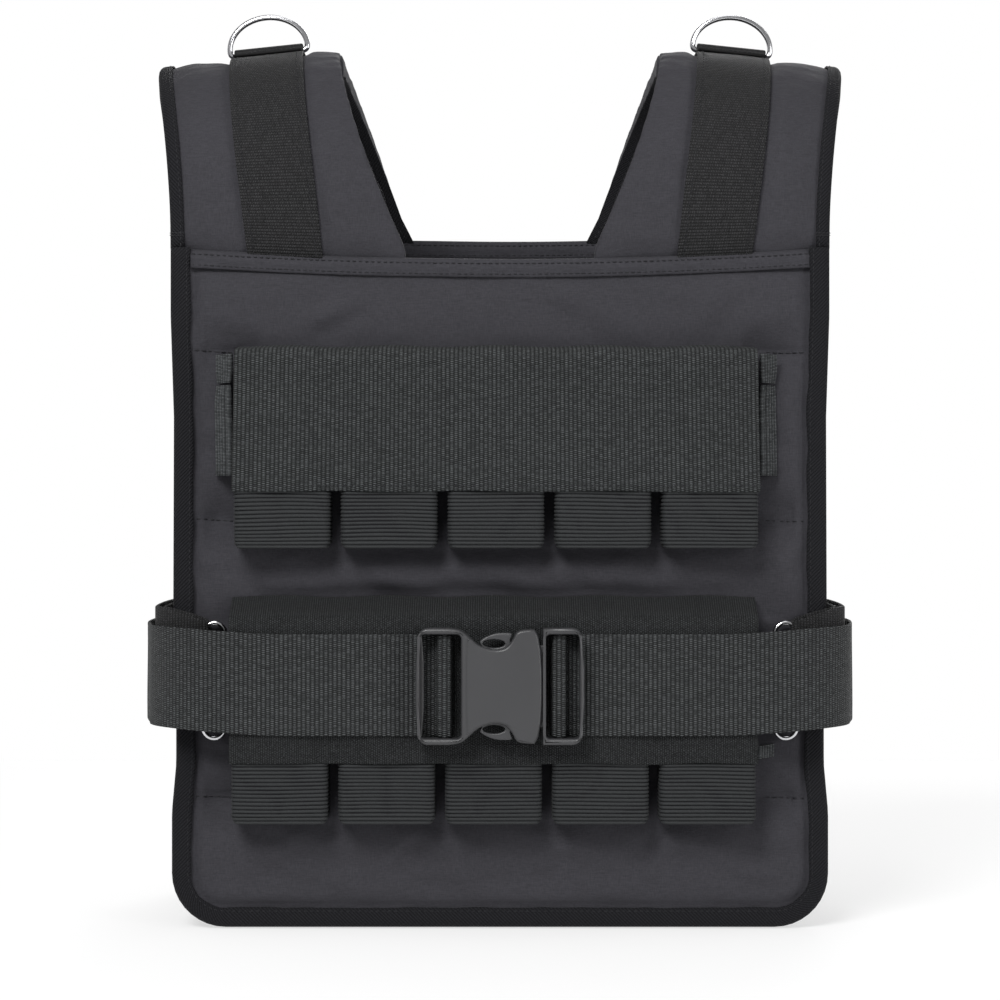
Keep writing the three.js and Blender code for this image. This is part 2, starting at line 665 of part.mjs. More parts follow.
for (const { name, sign } of SIDES) {
  for (const [level, span] of Object.entries(UPPER_ELASTICS)) {
    add(`upper_elastic_${name}_${level}`, elastic(UPPER_ROW, sign, span), 'elastic');
  }
}
add('lower_elastic_right', elastic(LOWER_ROW, 1, LOWER_ELASTIC), 'elastic');

// The belt runs in front of the lower flap, round each side and across the back panel.
const BELT_MIDDLE = BELT_BASE + half(BELT_WIDTH);
const BELT_FACE = SLEEVE_FACE - GAP - FLAP_THICKNESS - GAP - half(WEBBING);
const BACK_FACE = half(BODY_DEPTH) + half(PANEL_THICKNESS) + GAP + half(WEBBING);
const BUCKLE_BACK = BELT_FACE - half(WEBBING) - GAP;
const RING_LAYER = PANEL_FACE - GAP - half(WEBBING) - half(STRAP_SPACING);
const RING_MIDDLE = BELT_MIDDLE + SIDE_RING.lift;

// Round the side of the vest, from a point at the front to one at the back.
function roundSide({ front, back, side, bulge, frontTurn, backTurn }) {
  const [start, end] = [front + frontTurn, back - backTurn];
  const span = steps(6).slice(1, -1).map((share) => (
    flat(side + bulge * 4 * share * (1 - share), mix(start, end, share))
  ));
  return [
    ...arc(side - frontTurn, start, frontTurn, -90, 0, 5), ...span,
    ...arc(side - backTurn, end, backTurn, 0, 90, 5),
  ];
}

// A strap on edge along a line in the XY plane, climbing towards the back by its rise.
function strapAlong(line, sign, { middle, width, rise = 0 }) {
  const edges = [middle - half(width), middle + half(width)];
  return loft(edges, strapOutline(line, WEBBING), (z, { x, y }) => {
    const share = clamp01((y - RING_LAYER) / (BACK_FACE - RING_LAYER));
    return new THREE.Vector3(sign * x, y, z + rise * share);
  });
}

// The belt's end comes up through the frame, over its cross bar and down again.
function beltFold({ outer, bar }) {
  const { cut, tail, rise, lead } = BELT_FOLD;
  const top = BUCKLE_BACK - CROSS_BAR.lift - CROSS_BAR.depth - GAP - half(WEBBING);
  const reach = half(CROSS_BAR.width) + GAP + half(WEBBING);
  return [
    flat(bar - reach - tail, BUCKLE_BACK + half(WEBBING)), flat(bar - reach, BUCKLE_BACK - rise),
    flat(bar - reach, top + cut), flat(bar - reach + cut, top),
    flat(bar + reach - cut, top), flat(bar + reach, top + cut),
    flat(bar + reach, BUCKLE_BACK - rise), flat(bar + reach + lead, BELT_FACE),
    flat(outer + FRAME_RIM, BELT_FACE),
  ];
}

// Behind, it lies over the ends of the side strap and then on the back panel.
function belt(frame, sign) {
  const back = BACK_FACE + half(STRAP_SPACING) + WEBBING + GAP;
  const line = [
    ...beltFold(frame),
    ...roundSide({
      front: BELT_FACE, back, side: BELT_SIDE, bulge: BELT_BULGE,
      frontTurn: BELT_TURN, backTurn: STRAP_TURN + WEBBING + GAP,
    }),
    flat(STRAP_END - 2 * WEBBING, back), flat(STRAP_END - half(BELT_TURN), BACK_FACE),
    flat(half(GAP), BACK_FACE),
  ];
  return strapAlong(line, sign, { middle: BELT_MIDDLE, width: BELT_WIDTH });
}

// A side strap is one webbing folded through the side ring, its two layers round the side.
const OUTER_WIRE = SIDE_RING.centre + half(SIDE_RING.width - SIDE_RING.wire);
const INNER_WIRE = SIDE_RING.centre - half(SIDE_RING.width - SIDE_RING.wire);

function sideStrap(sign) {
  const fold = arc(OUTER_WIRE, RING_LAYER, half(STRAP_SPACING), 90, 270, 6);
  const inner = roundSide({
    front: RING_LAYER + half(STRAP_SPACING), back: BACK_FACE, side: STRAP_SIDE - STRAP_SPACING,
    bulge: half(STRAP_BULGE), frontTurn: INNER_STRAP_TURN, backTurn: INNER_STRAP_TURN,
  });
  const outer = roundSide({
    front: RING_LAYER - half(STRAP_SPACING), back: BACK_FACE + half(STRAP_SPACING),
    side: STRAP_SIDE, bulge: STRAP_BULGE, frontTurn: STRAP_TURN, backTurn: STRAP_TURN,
  });
  const line = [
    flat(STRAP_END, BACK_FACE), ...inner.reverse(), ...fold, ...outer,
    flat(STRAP_END, BACK_FACE + half(STRAP_SPACING)),
  ];
  return strapAlong(line, sign, {
    middle: RING_MIDDLE, width: SIDE_STRAP_WIDTH, rise: SIDE_STRAP_RISE,
  });
}

function ringTab(sign) {
  const foot = INNER_WIRE - TAB_REACH;
  const line = [
    flat(foot, RING_LAYER - half(STRAP_SPACING)),
    ...arc(INNER_WIRE, RING_LAYER, half(STRAP_SPACING), -90, 90, 6),
    flat(foot, RING_LAYER + half(STRAP_SPACING)),
  ];
  return strapAlong(line, sign, { middle: RING_MIDDLE, width: TAB_WIDTH });
}

function sideRing() {
  const reach = half(SIDE_RING.width - SIDE_RING.wire);
  const rise = half(SIDE_RING.height - SIDE_RING.wire) - reach;
  const line = [...arc(0, rise, reach, 0, 180, 7), ...arc(0, -rise, reach, 180, 360, 7)];
  return wireRing(line, SIDE_RING.wire, SIDE_RING_FLATS);
}

for (const { name, sign } of SIDES) {
  add(`belt_${name}`, belt(sign < 0 ? SOCKET_FRAME : PLUG_FRAME, sign), 'webbing');
  add(`side_strap_${name}`, sideStrap(sign), 'webbing');
  add(`ring_tab_${name}`, ringTab(sign), 'webbing');
  const ring = add(`side_ring_${name}`, sideRing(), 'steel');
  ring.position.set(sign * SIDE_RING.centre, RING_LAYER, RING_MIDDLE);
}

// Buckle. Outlines lie in the XZ plane about the belt's middle.
const across = (points) => points.map(({ x, y }) => flat(x, -y)).reverse();
const BUCKLE_HALF = half(BUCKLE_HEIGHT);

// The scooped waist of the socket as shares of its mouth and half height, upper half.
const WAIST = [[-0.98, 1], [-0.72, 0.85], [-0.52, 0.71], [-0.26, 0.645], [-0.08, 0.625],
  [0.08, 0.65], [0.2, 0.7], [0.31, 0.82], [0.38, 0.93], [0.52, 0.975], [1, 0.98]];

function socketOutline() {
  const corner = SOCKET_FRAME.outer - FRAME_CORNER - 1;
  const waist = WAIST.map(([along, up]) => flat(along * SOCKET_MOUTH, up * BUCKLE_HALF));
  const top = [
    flat(-SOCKET_FRAME.outer, 0),
    ...arc(-corner, BUCKLE_HALF - FRAME_CORNER, FRAME_CORNER, 172, 90, 4), ...waist,
  ];
  return new THREE.Shape([...top, ...across(top.slice(1))].reverse());
}

function slot(from, to) {
  const reach = BUCKLE_HALF - FRAME_RIM;
  return plate(new THREE.Shape([
    flat(from, -reach), flat(to, -reach), flat(to, reach), flat(from, reach),
  ]), BUCKLE_BACK - 2 * BUCKLE_DEPTH, 3 * BUCKLE_DEPTH);
}

function crossBar(at) {
  const { width, depth, lift } = CROSS_BAR;
  const reach = BUCKLE_HALF - half(FRAME_RIM);
  return new THREE.BoxGeometry(width, depth, 2 * reach)
    .translate(at, BUCKLE_BACK - lift - half(depth), 0);
}

function buckleSocket() {
  const body = solidOf(plate(socketOutline(), BUCKLE_BACK - BUCKLE_DEPTH, BUCKLE_DEPTH));
  const mouth = new THREE.BoxGeometry(MOUTH_DEPTH, PRONG_DEPTH + 2 * GAP, 2 * MOUTH_HALF)
    .translate(
      SOCKET_MOUTH + CUT_OVERRUN - half(MOUTH_DEPTH), BUCKLE_BACK - half(BUCKLE_DEPTH), 0,
    );
  const { outer, inner, bar } = SOCKET_FRAME;
  return geometryOf(body
    .subtract(solidOf(slot(FRAME_END - outer, -inner)))
    .add(solidOf(crossBar(-bar)))
    .subtract(solidOf(mouth)));
}

// One prong, as shares of the mouth's depth and the buckle's half height.
const PRONG = [[1.02, 0.36], [1.02, 0.69], [0.48, 0.71], [0.26, 0.745], [0.24, 0.8],
  [0.3, 0.89], [0.26, 0.915], [0.1, 0.92],
  [-0.12, 0.91], [-0.34, 0.85], [-0.5, 0.77], [-0.45, 0.69], [-0.14, 0.6], [0.25, 0.5],
  [0.6, 0.36]];

function prong(sign) {
  const points = PRONG.map(([along, up]) => flat(along * SOCKET_MOUTH, up * BUCKLE_HALF));
  const line = sign > 0 ? [...points].reverse() : points.map(({ x, y }) => flat(x, -y));
  const back = BUCKLE_BACK - half(BUCKLE_DEPTH + PRONG_DEPTH);
  return plate(new THREE.Shape(line), back, PRONG_DEPTH);
}

function bladeBox(from, to, rise) {
  return new THREE.BoxGeometry(to - from, PRONG_DEPTH, 2 * rise)
    .translate(half(from + to), BUCKLE_BACK - half(BUCKLE_DEPTH), 0);
}

function bucklePlug() {
  const { outer, inner, bar } = PLUG_FRAME;
  const near = SOCKET_MOUTH + GAP;
  const corner = outer - FRAME_CORNER - 1;
  const top = [
    ...arc(corner, BUCKLE_HALF - FRAME_CORNER, FRAME_CORNER, 8, 90, 4), flat(near, BUCKLE_HALF),
  ];
  const outline = new THREE.Shape([flat(outer, 0), ...top, ...across(top)]);
  const body = solidOf(plate(outline, BUCKLE_BACK - BUCKLE_DEPTH, BUCKLE_DEPTH));
  return geometryOf(body
    .subtract(solidOf(slot(inner, outer - FRAME_END)))
    .add(solidOf(crossBar(bar)))
    .add(solidOf(bladeBox(BLADE.reach, inner, BLADE.rise)))
    .add(solidOf(bladeBox(BLADE.guideReach, inner, BLADE.guideRise)))
    .add(solidOf(prong(1)))
    .add(solidOf(prong(-1))));
}

add('buckle_socket', buckleSocket().translate(0, 0, BELT_MIDDLE), 'plastic');
add('buckle_plug', bucklePlug().translate(0, 0, BELT_MIDDLE), 'plastic');

// The vest stands on its hems: the middle of its box's underside is the origin.
const box = new THREE.Box3().setFromObject(vest, true);
const middle = box.getCenter(new THREE.Vector3());
vest.position.set(-middle.x, -middle.y, -box.min.z);

export default vest;
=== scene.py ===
"""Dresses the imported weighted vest: padded cloth, webbing, elastic, tape, buckle and rings.

Shapes are given in millimetres, with Y = 0 midway between the two panels as in the part's
source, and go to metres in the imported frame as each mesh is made.
"""
import math

import bmesh
import bpy
import numpy as np
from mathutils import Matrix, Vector
from mathutils.bvhtree import BVHTree


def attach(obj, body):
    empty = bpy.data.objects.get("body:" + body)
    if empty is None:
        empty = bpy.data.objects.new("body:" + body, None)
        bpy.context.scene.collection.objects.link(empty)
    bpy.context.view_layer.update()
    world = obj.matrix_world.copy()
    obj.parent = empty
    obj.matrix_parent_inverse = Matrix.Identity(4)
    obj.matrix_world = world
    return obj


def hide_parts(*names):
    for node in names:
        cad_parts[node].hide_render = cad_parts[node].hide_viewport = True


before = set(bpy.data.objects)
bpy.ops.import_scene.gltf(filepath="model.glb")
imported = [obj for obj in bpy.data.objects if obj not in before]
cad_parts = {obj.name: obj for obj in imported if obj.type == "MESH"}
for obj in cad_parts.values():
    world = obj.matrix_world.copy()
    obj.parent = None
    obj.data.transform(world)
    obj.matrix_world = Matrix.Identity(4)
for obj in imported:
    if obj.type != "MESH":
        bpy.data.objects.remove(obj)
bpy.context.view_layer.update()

MM = 0.001
CM = 10.0             # a UV unit is a centimetre of cloth
Y_MIDDLE = 16.1       # the panels' mid-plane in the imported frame
SIDES = (("left", -1), ("right", 1))

# Sizes from the part's source
GAP, TAPE, WEBBING = 0.3, 1.2, 1.5
BODY_DEPTH, PANEL_WIDTH, PANEL_THICKNESS, PANEL_EDGE, PANEL_CORNER = 150, 329, 20, 14, 27
FRONT_HEIGHT, BACK_HEIGHT, NECKLINE_SAG = 340.5, 362, 5.5
BINDING_WIDTH, HEM_HEIGHT = 10, 9.5
CREST_HEIGHT, SHOULDER_DROP, PAD_THICKNESS, PAD_EDGE = 452, 10, 16, 12
NECK_HALF_WIDTH, NECK_FLARE, ARM_HALF_WIDTH, ARM_FLARE, ARM_POWER = 46.5, 36, 165.3, 13, 2.2
SHOULDER_BINDING_WIDTH, STRAP_WIDTH = 7, 38
STRAP_AT_CHEST, STRAP_AT_CREST, LOOP_WIDTH, LOOP_PRESS = 107.5, 121.6, 36.4, 1.8
SLEEVE_PITCH, SLEEVE_WIDTH, SLEEVE_DEPTH, SLEEVE_HEIGHT = 52.8, 48.1, 21.6, 94
PANEL_FACE = -85
SLEEVE_FACE = PANEL_FACE - GAP - SLEEVE_DEPTH
ROWS = {
    "upper": {"base": 190, "shift": -2, "top": 291.5, "foot": 218, "slope": 2},
    "lower": {"base": 54, "shift": -3.2, "top": 167, "foot": 84, "slope": 9},
}
FLAP_THICKNESS, FLAP_REACH, FLAP_FOLD = 1.8, 130.25, 5
BELT_MIDDLE, BELT_WIDTH, BELT_FACE = 123, 50, -110.05
BACK_FACE, RING_LAYER, RING_MIDDLE = 86.05, -88.35, 124
STRAP_SPACING, STRAP_END, RING_CENTRE = 4.6, 118, 142.4
BELT_SIDE, BELT_BULGE, BELT_TURN = 176, 7, 40
STRAP_SIDE, STRAP_BULGE, STRAP_TURN, INNER_STRAP_TURN = 172.6, 3, 15, 5.8
CROSS_BAR_WIDTH, CROSS_BAR_DEPTH, CROSS_BAR_LIFT = 3.4, 4.4, 1.6
BELT_CUT, BELT_TAIL, BELT_RISE, BELT_LEAD = 0.7, 0.9, 2.2, 2
D_RING_REACH, D_RING_RISE, D_RING_CORNER, D_RING_WIRE = 20.5, 19.0, 2.5, 3.0
SIDE_RING_REACH, SIDE_RING_HEIGHT, SIDE_RING_WIRE = 5.5, 57.6, 2.4
SIDE_STRAP_WIDTH, TAB_WIDTH = 46, 44
RING_SEAT = (121.787, 0, 449.709)
RING_LEAN = (0.9946, 0.10382)
BUCKLE_BACK, BUCKLE_DEPTH, BUCKLE_HALF = -111.1, 12, 28.5
FRAME_OUTER, FRAME_RIM, FRAME_END, FRAME_CORNER = 41.2, 3.1, 2.3, 5
BELT_BARS = {"left": 27.2, "right": 28.9}


# ---------------------------------------------------------------- numbers and meshes
def smooth(share):
    inside = np.clip(share, 0, 1)
    return inside * inside * (3 - 2 * inside)


def ripple(x, y, scale, seed, stretch=1.0):
    """Soft irregular waves over a surface, from -1 to 1; stretch lengthens them along y."""
    rng = np.random.default_rng(seed)
    total = np.zeros_like(np.asarray(x, float) + np.asarray(y, float))
    for _ in range(7):
        turn, phase = rng.uniform(0, 2 * math.pi, 2)
        size = scale * rng.uniform(0.7, 1.6)
        total += np.sin(2 * math.pi * (x * math.cos(turn) + y / stretch * math.sin(turn)) / size + phase)
    return total / 4.2


def resample(line, pitch):
    """Points at even steps along a polyline, rounded off first by cutting its corners."""
    points = np.asarray(line, float)
    for _ in range(2):
        inner = np.empty((2 * len(points) - 2, points.shape[1]))
        inner[0::2] = 0.75 * points[:-1] + 0.25 * points[1:]
        inner[1::2] = 0.25 * points[:-1] + 0.75 * points[1:]
        points = np.vstack([points[:1], inner, points[-1:]])
    run = run_of(points)
    count = max(2, int(round(run[-1] / pitch)) + 1)
    return at_run(np.linspace(0, run[-1], count), run, points)


def arc(x, y, radius, start, end, count):
    turn = np.radians(np.linspace(start, end, count))
    return np.column_stack([x + radius * np.cos(turn), y + radius * np.sin(turn)])


def run_of(points):
    steps = np.linalg.norm(np.diff(points, axis=0), axis=1)
    return np.concatenate([[0], np.cumsum(steps)])


def at_run(at, run, values):
    """The rows of values at places along a run."""
    return np.column_stack([np.interp(at, run, values[:, k]) for k in range(values.shape[1])])


def unit(vectors):
    return vectors / np.maximum(np.linalg.norm(vectors, axis=-1, keepdims=True), 1e-9)


def to_frame(points):
    return (np.asarray(points, float) + (0, Y_MIDDLE, 0)) * MM


def from_frame(co):
    return co / MM - (0, Y_MIDDLE, 0)


def linked(name, data):
    """A new object in the scene."""
    obj = bpy.data.objects.new(name, data)
    bpy.context.scene.collection.objects.link(obj)
    return obj


def piece(name, mesh, material, body="vest"):
    """A visible piece with its finish, on the body that carries it."""
    obj = linked(name, mesh)
    mesh.materials.clear()
    mesh.materials.append(material)
    mesh.shade_smooth()
    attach(obj, body)
    return obj


def dressed(node, name, mesh, material, body="vest"):
    """A piece that takes the place of a solid."""
    obj = piece(name, mesh, material, body)
    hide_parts(node)
    return obj


def ring_mesh(name, points, u, v, loop=False):
    """A closed skin over stations of rings: points is stations by ring by 3, u the run of
    each station and v the way round the ring, both in millimetres."""
    points = np.asarray(points, float)
    n, m = points.shape[:2]
    i = np.arange(n if loop else n - 1)[:, None]
    j = np.arange(m)[None, :]
    near, far, nxt = i * m, ((i + 1) % n) * m, (j + 1) % m
    quads = np.stack([near + j, near + nxt, far + nxt, far + j], axis=-1).reshape(-1, 4)
    uu = np.append(u, u[-1] + (u[1] - u[0])) if loop else np.asarray(u, float)
    corner_u = np.stack([uu[i] + 0 * j, uu[i] + 0 * j, uu[i + 1] + 0 * j, uu[i + 1] + 0 * j], -1)
    v_next = np.append(v[1:], v[-1] if abs(v[0] - v[-1]) < 1e-6 else v[0])
    corner_v = np.stack([v[j] + 0 * i, v_next[j] + 0 * i, v_next[j] + 0 * i, v[j] + 0 * i], -1)
    faces = quads.tolist()
    uv = np.stack([corner_u, corner_v], -1).reshape(-1, 2)
    if not loop:
        faces += [list(range(m))[::-1], list(range((n - 1) * m, n * m))]
        uv = np.vstack([uv, np.column_stack([np.full(m, u[0]), v[::-1]]),
                        np.column_stack([np.full(m, u[-1]), v])])
    flat = points.reshape(-1, 3)
    a, b, c = flat[quads[:, 0]], flat[quads[:, 1]], flat[quads[:, 2]]
    d = flat[quads[:, 3]]
    volume = (np.einsum("ij,ij->i", a, np.cross(b, c)) + np.einsum("ij,ij->i", a, np.cross(c, d))).sum()
    mesh = bpy.data.meshes.new(name)
    mesh.from_pydata(to_frame(flat).tolist(), [], faces)
    layer = mesh.uv_layers.new(name="cloth")
    layer.data.foreach_set("uv", (uv / CM).astype(np.float32).ravel())
    if volume < 0:
        mesh.flip_normals()
    mesh.update()
    return mesh


def band_section(half, thickness, columns):
    """A strap's section: across and through of each point, there and back, round at the edges."""
    r = thickness / 2
    top = np.linspace(-(half - r), half - r, columns + 1)
    turn = np.radians([45, 90, 135])
    edge = np.column_stack([half - r + r * np.sin(turn), r * np.cos(turn)])
    right = np.vstack([np.column_stack([top, np.full(columns + 1, r)]), edge])
    left = -right
    return np.vstack([right, left])


def band(name, origins, across, normals, half, thickness, columns=10, wave=None, u=None):
    """A flat strap along stations. wave(u, v) shifts it along its normal."""
    origins, across, normals = (np.asarray(x, float) for x in (origins, across, normals))
    section = band_section(half, thickness, columns)
    v, h = section[:, 0], section[:, 1]
    u = run_of(origins) if u is None else u
    lift = h[None, :] + (wave(u[:, None], v[None, :]) if wave else 0)
    points = origins[:, None] + across[:, None] * v[None, :, None] + normals[:, None] * lift[..., None]
    return ring_mesh(name, points, u, v)


def channel_section(width, edge, wall, radius):
    """A tape folded over an edge: the way in from the edge, through it, and round the tape."""
    inner = edge / 2 + GAP
    outer = inner + wall
    def walk(r, reach, start):
        legs = [np.column_stack([np.linspace(width, r + start, 5), np.full(5, -reach)])]
        legs.append(arc(r + start, -(reach - r), r, 270, 180, 5)[1:])
        legs.append(np.column_stack([np.full(6, start), np.linspace(-(reach - r), reach - r, 6)])[1:])
        legs.append(arc(r + start, reach - r, r, 180, 90, 5)[1:])
        legs.append(np.column_stack([np.linspace(r + start, width, 5), np.full(5, reach)])[1:])
        return np.vstack(legs)
    out = walk(radius, outer, 0)
    inside = walk(max(radius - wall, 0.4), inner, wall)[::-1]
    run = run_of(out)
    back = run_of(inside)[::-1] * run[-1] / run_of(inside)[-1]
    return np.vstack([out, inside]), np.concatenate([run, back])


def weld(mesh, distance, faces_out=False):
    work = bmesh.new()
    work.from_mesh(mesh)
    bmesh.ops.remove_doubles(work, verts=work.verts, dist=distance)
    if faces_out:
        bmesh.ops.recalc_face_normals(work, faces=work.faces)
    work.to_mesh(mesh)
    work.free()


def mesh_of(obj):
    """The object's mesh with its modifiers applied."""
    bpy.context.view_layer.update()
    graph = bpy.context.evaluated_depsgraph_get()
    return bpy.data.meshes.new_from_object(obj.evaluated_get(graph), depsgraph=graph)


def coordinates(mesh):
    co = np.empty(len(mesh.vertices) * 3)
    mesh.vertices.foreach_get("co", co)
    return co.reshape(-1, 3)


def normals_of(mesh):
    no = np.empty(len(mesh.vertices) * 3)
    mesh.vertices.foreach_get("normal", no)
    return no.reshape(-1, 3)


def put_coordinates(mesh, co):
    mesh.vertices.foreach_set("co", np.asarray(co, float).ravel())
    mesh.update()


# ---------------------------------------------------------------- the panels' and shoulders' shape
SIDE_LINE = ((0, 1), (0.17, 1), (0.24, 0.987), (0.31, 0.987), (0.45, 0.996), (0.75, 0.994),
             (0.9, 1.004), (1, 1.004))
QUILT_SEAMS = (288.5, 204, 65)
ARCH_RADIUS = BODY_DEPTH / 2
ARCH_HEIGHT = CREST_HEIGHT - PAD_THICKNESS / 2 - ARCH_RADIUS


def half_width_at(z):
    share = np.clip(np.asarray(z, float) / FRONT_HEIGHT, 0, 1)
    return PANEL_WIDTH / 2 * np.interp(share, [a for a, _ in SIDE_LINE], [w for _, w in SIDE_LINE])


def neckline_at(height, x):
    return height - NECKLINE_SAG * (1 - np.minimum(1, np.abs(x) / (PANEL_WIDTH / 2)) ** 2)


def rise_of(z):
    return np.clip((z - FRONT_HEIGHT) / (CREST_HEIGHT - FRONT_HEIGHT), 0, 1)


def neck_at(rise):
    return NECK_HALF_WIDTH + NECK_FLARE * rise


def arm_at(rise):
    return ARM_HALF_WIDTH + ARM_FLARE * rise ** ARM_POWER


def strap_at(rise):
    return STRAP_AT_CHEST + (STRAP_AT_CREST - STRAP_AT_CHEST) * rise


def neck_ease(places):
    """How far the soft neck edge gives: away from the neck in front, towards it behind."""
    rise = rise_of(places[:, 2])
    return 4 * rise * (1 - rise) * np.where(places[:, 1] < 0, 4.5, -2.0)


def foot_height(y):
    """The height of the panel under a place on the shoulder."""
    return np.where(y < 0, FRONT_HEIGHT, BACK_HEIGHT)


def press_at(turn):
    return LOOP_PRESS * smooth(1 - np.abs(turn - 90) / 34)


def shoulder_stations(pitch=5.0):
    """Places along the shoulder, from the front foot over the crest to the back foot."""
    front = [(0.0, leg, FRONT_HEIGHT) for leg in np.linspace(1, 0, 6)[:-1]]
    over = [(turn, 0.0, 0.0) for turn in np.linspace(0, 180, int(math.pi * ARCH_RADIUS / pitch))]
    back = [(180.0, leg, BACK_HEIGHT) for leg in (0.5, 1.0)]
    return front + over + back


def shoulder_point(station, across, lift, sign, tuck=0.6):
    """A place on the shoulder; tuck is how far its foot goes down behind the hem."""
    turn, leg, foot = station
    angle = math.radians(turn)
    y = -math.cos(angle) * (ARCH_RADIUS + lift)
    bend = ARCH_HEIGHT + math.sin(angle) * (ARCH_RADIUS + lift)
    middle = ARCH_HEIGHT + math.sin(angle) * (ARCH_RADIUS + PAD_THICKNESS / 2)
    rise = float(rise_of(FRONT_HEIGHT * leg + ARCH_HEIGHT * (1 - leg) if leg else middle))
    x = across(rise)
    share = (x - neck_at(rise)) / (arm_at(rise) - neck_at(rise))
    z = bend
    if leg:
        bound = half_width_at(foot) - BINDING_WIDTH - GAP
        floor = (foot if x > bound - GAP else float(neckline_at(foot, x))) + GAP
        z = ARCH_HEIGHT * (1 - leg) + (floor - tuck) * leg
    drop = SHOULDER_DROP * share * rise * (1 - leg)
    return np.array([sign * x, y, z - drop])


def shoulder_strip(sign, across, lift, pitch=5.0, tuck=0.6):
    """Origins, across and normals of a strip along the shoulder; lift(turn) is its height."""
    origins, sides, ups = [], [], []
    for station in shoulder_stations(pitch):
        height = lift(station[0])
        inner = shoulder_point(station, lambda r: across(r) - 5, height, sign, tuck)
        outer = shoulder_point(station, lambda r: across(r) + 5, height, sign, tuck)
        above = shoulder_point(station, across, height + 1, sign, tuck)
        origin = shoulder_point(station, across, height, sign, tuck)
        origins.append(origin)
        sides.append((outer - inner) * sign)
        ups.append(above - origin)
    sides, ups = unit(np.array(sides)), unit(np.array(ups))
    return np.array(origins), sides, ups


def edge_path(height, pitch=5.0):
    """The panel's side, lower corners and other side: place, and way in from the edge."""
    down = np.arange(height, PANEL_CORNER, -pitch)
    right = [(float(half_width_at(z)), z, 90.0) for z in down]
    for turn in np.linspace(90, 0, 10):
        angle = math.radians(turn)
        right.append((PANEL_WIDTH / 2 - PANEL_CORNER + PANEL_CORNER * math.sin(angle),
                      PANEL_CORNER - PANEL_CORNER * math.cos(angle), turn))
    flat = np.arange(PANEL_WIDTH / 2 - PANEL_CORNER - pitch, pitch / 2, -pitch)
    right += [(x, 0.0, 0.0) for x in flat]
    rows = right + [(0.0, 0.0, 0.0)] + [(-x, z, -turn) for x, z, turn in reversed(right)]
    x, z, turn = np.array(rows).T
    inward = np.column_stack([-np.sin(np.radians(turn)), np.cos(np.radians(turn))])
    return x, z, inward


# ---------------------------------------------------------------- shader groups
class Shader:
    """A node tree being built: each call adds a node and says what feeds it."""

    def __init__(self, tree):
        self.tree = tree
        self.column = 0

    def add(self, kind, settings=None, **inputs):
        node = self.tree.nodes.new(kind)
        self.column += 1
        node.location = (180 * (self.column % 12), -220 * (self.column // 12))
        for key, value in (settings or {}).items():
            setattr(node, key, value)
        for key, value in inputs.items():
            self.feed(node, key, value)
        return node

    def feed(self, node, key, value):
        found = [s for s in node.inputs if s.name == key.replace("_", " ") or s.identifier == key]
        socket = found[0] if found else node.inputs[int(key[1:])]
        if isinstance(value, bpy.types.NodeSocket):
            self.tree.links.new(value, socket)
        else:
            socket.default_value = value

    def math(self, operation, *values, clamp=False):
        node = self.add("ShaderNodeMath", {"operation": operation, "use_clamp": clamp})
        for k, value in enumerate(values):
            self.feed(node, f"i{k}", value)
        return node.outputs[0]

    def group(self, tree, **inputs):
        node = self.add("ShaderNodeGroup", {"node_tree": tree})
        for key, value in inputs.items():
            self.feed(node, key, value)
        return node


def node_group(name, inputs, outputs, kind_of_tree="ShaderNodeTree"):
    tree = bpy.data.node_groups.new(name, kind_of_tree)
    for label, kind, value in inputs:
        socket = tree.interface.new_socket(name=label, in_out="INPUT", socket_type=kind)
        if value is not None:
            socket.default_value = value
    for label, kind in outputs:
        tree.interface.new_socket(name=label, in_out="OUTPUT", socket_type=kind)
    shader = Shader(tree)
    into = shader.add("NodeGroupInput")
    out = shader.add("NodeGroupOutput")
    return tree, shader, into, out


FLOAT, VECTOR, GEOMETRY = "NodeSocketFloat", "NodeSocketVector", "NodeSocketGeometry"
WHOLE, FINISH = "NodeSocketInt", "NodeSocketMaterial"


def weave_group():
    """Rows and columns of raised threads in the plane of the first two coordinates."""
    tree, s, into, out = node_group("Thread weave", [
        ("Vector", VECTOR, None), ("Across", FLOAT, 10.0), ("Along", FLOAT, 10.0),
        ("Stagger", FLOAT, 0.5)], [("Height", FLOAT), ("Thread", FLOAT)])
    split = s.add("ShaderNodeSeparateXYZ", Vector=into.outputs["Vector"])
    u = s.math("MULTIPLY", split.outputs["X"], into.outputs["Along"])
    column = s.math("FLOOR", u)
    shift = s.math("MULTIPLY", s.math("MODULO", column, 2.0), into.outputs["Stagger"])
    v = s.math("ADD", s.math("MULTIPLY", split.outputs["Y"], into.outputs["Across"]), shift)
    ridge_u = s.math("SINE", s.math("MULTIPLY", s.math("FRACT", u), math.pi))
    ridge_v = s.math("SINE", s.math("MULTIPLY", s.math("FRACT", v), math.pi))
    height = s.math("MULTIPLY", s.math("POWER", s.math("ABSOLUTE", ridge_u), 1.1),
                    s.math("ABSOLUTE", ridge_v))
    thread = s.add("ShaderNodeTexWhiteNoise", {"noise_dimensions": "2D"})
    cell = s.add("ShaderNodeCombineXYZ", X=column, Y=s.math("FLOOR", v))
    s.feed(thread, "Vector", cell.outputs[0])
    s.feed(out, "Height", height)
    s.feed(out, "Thread", thread.outputs["Value"])
    return tree


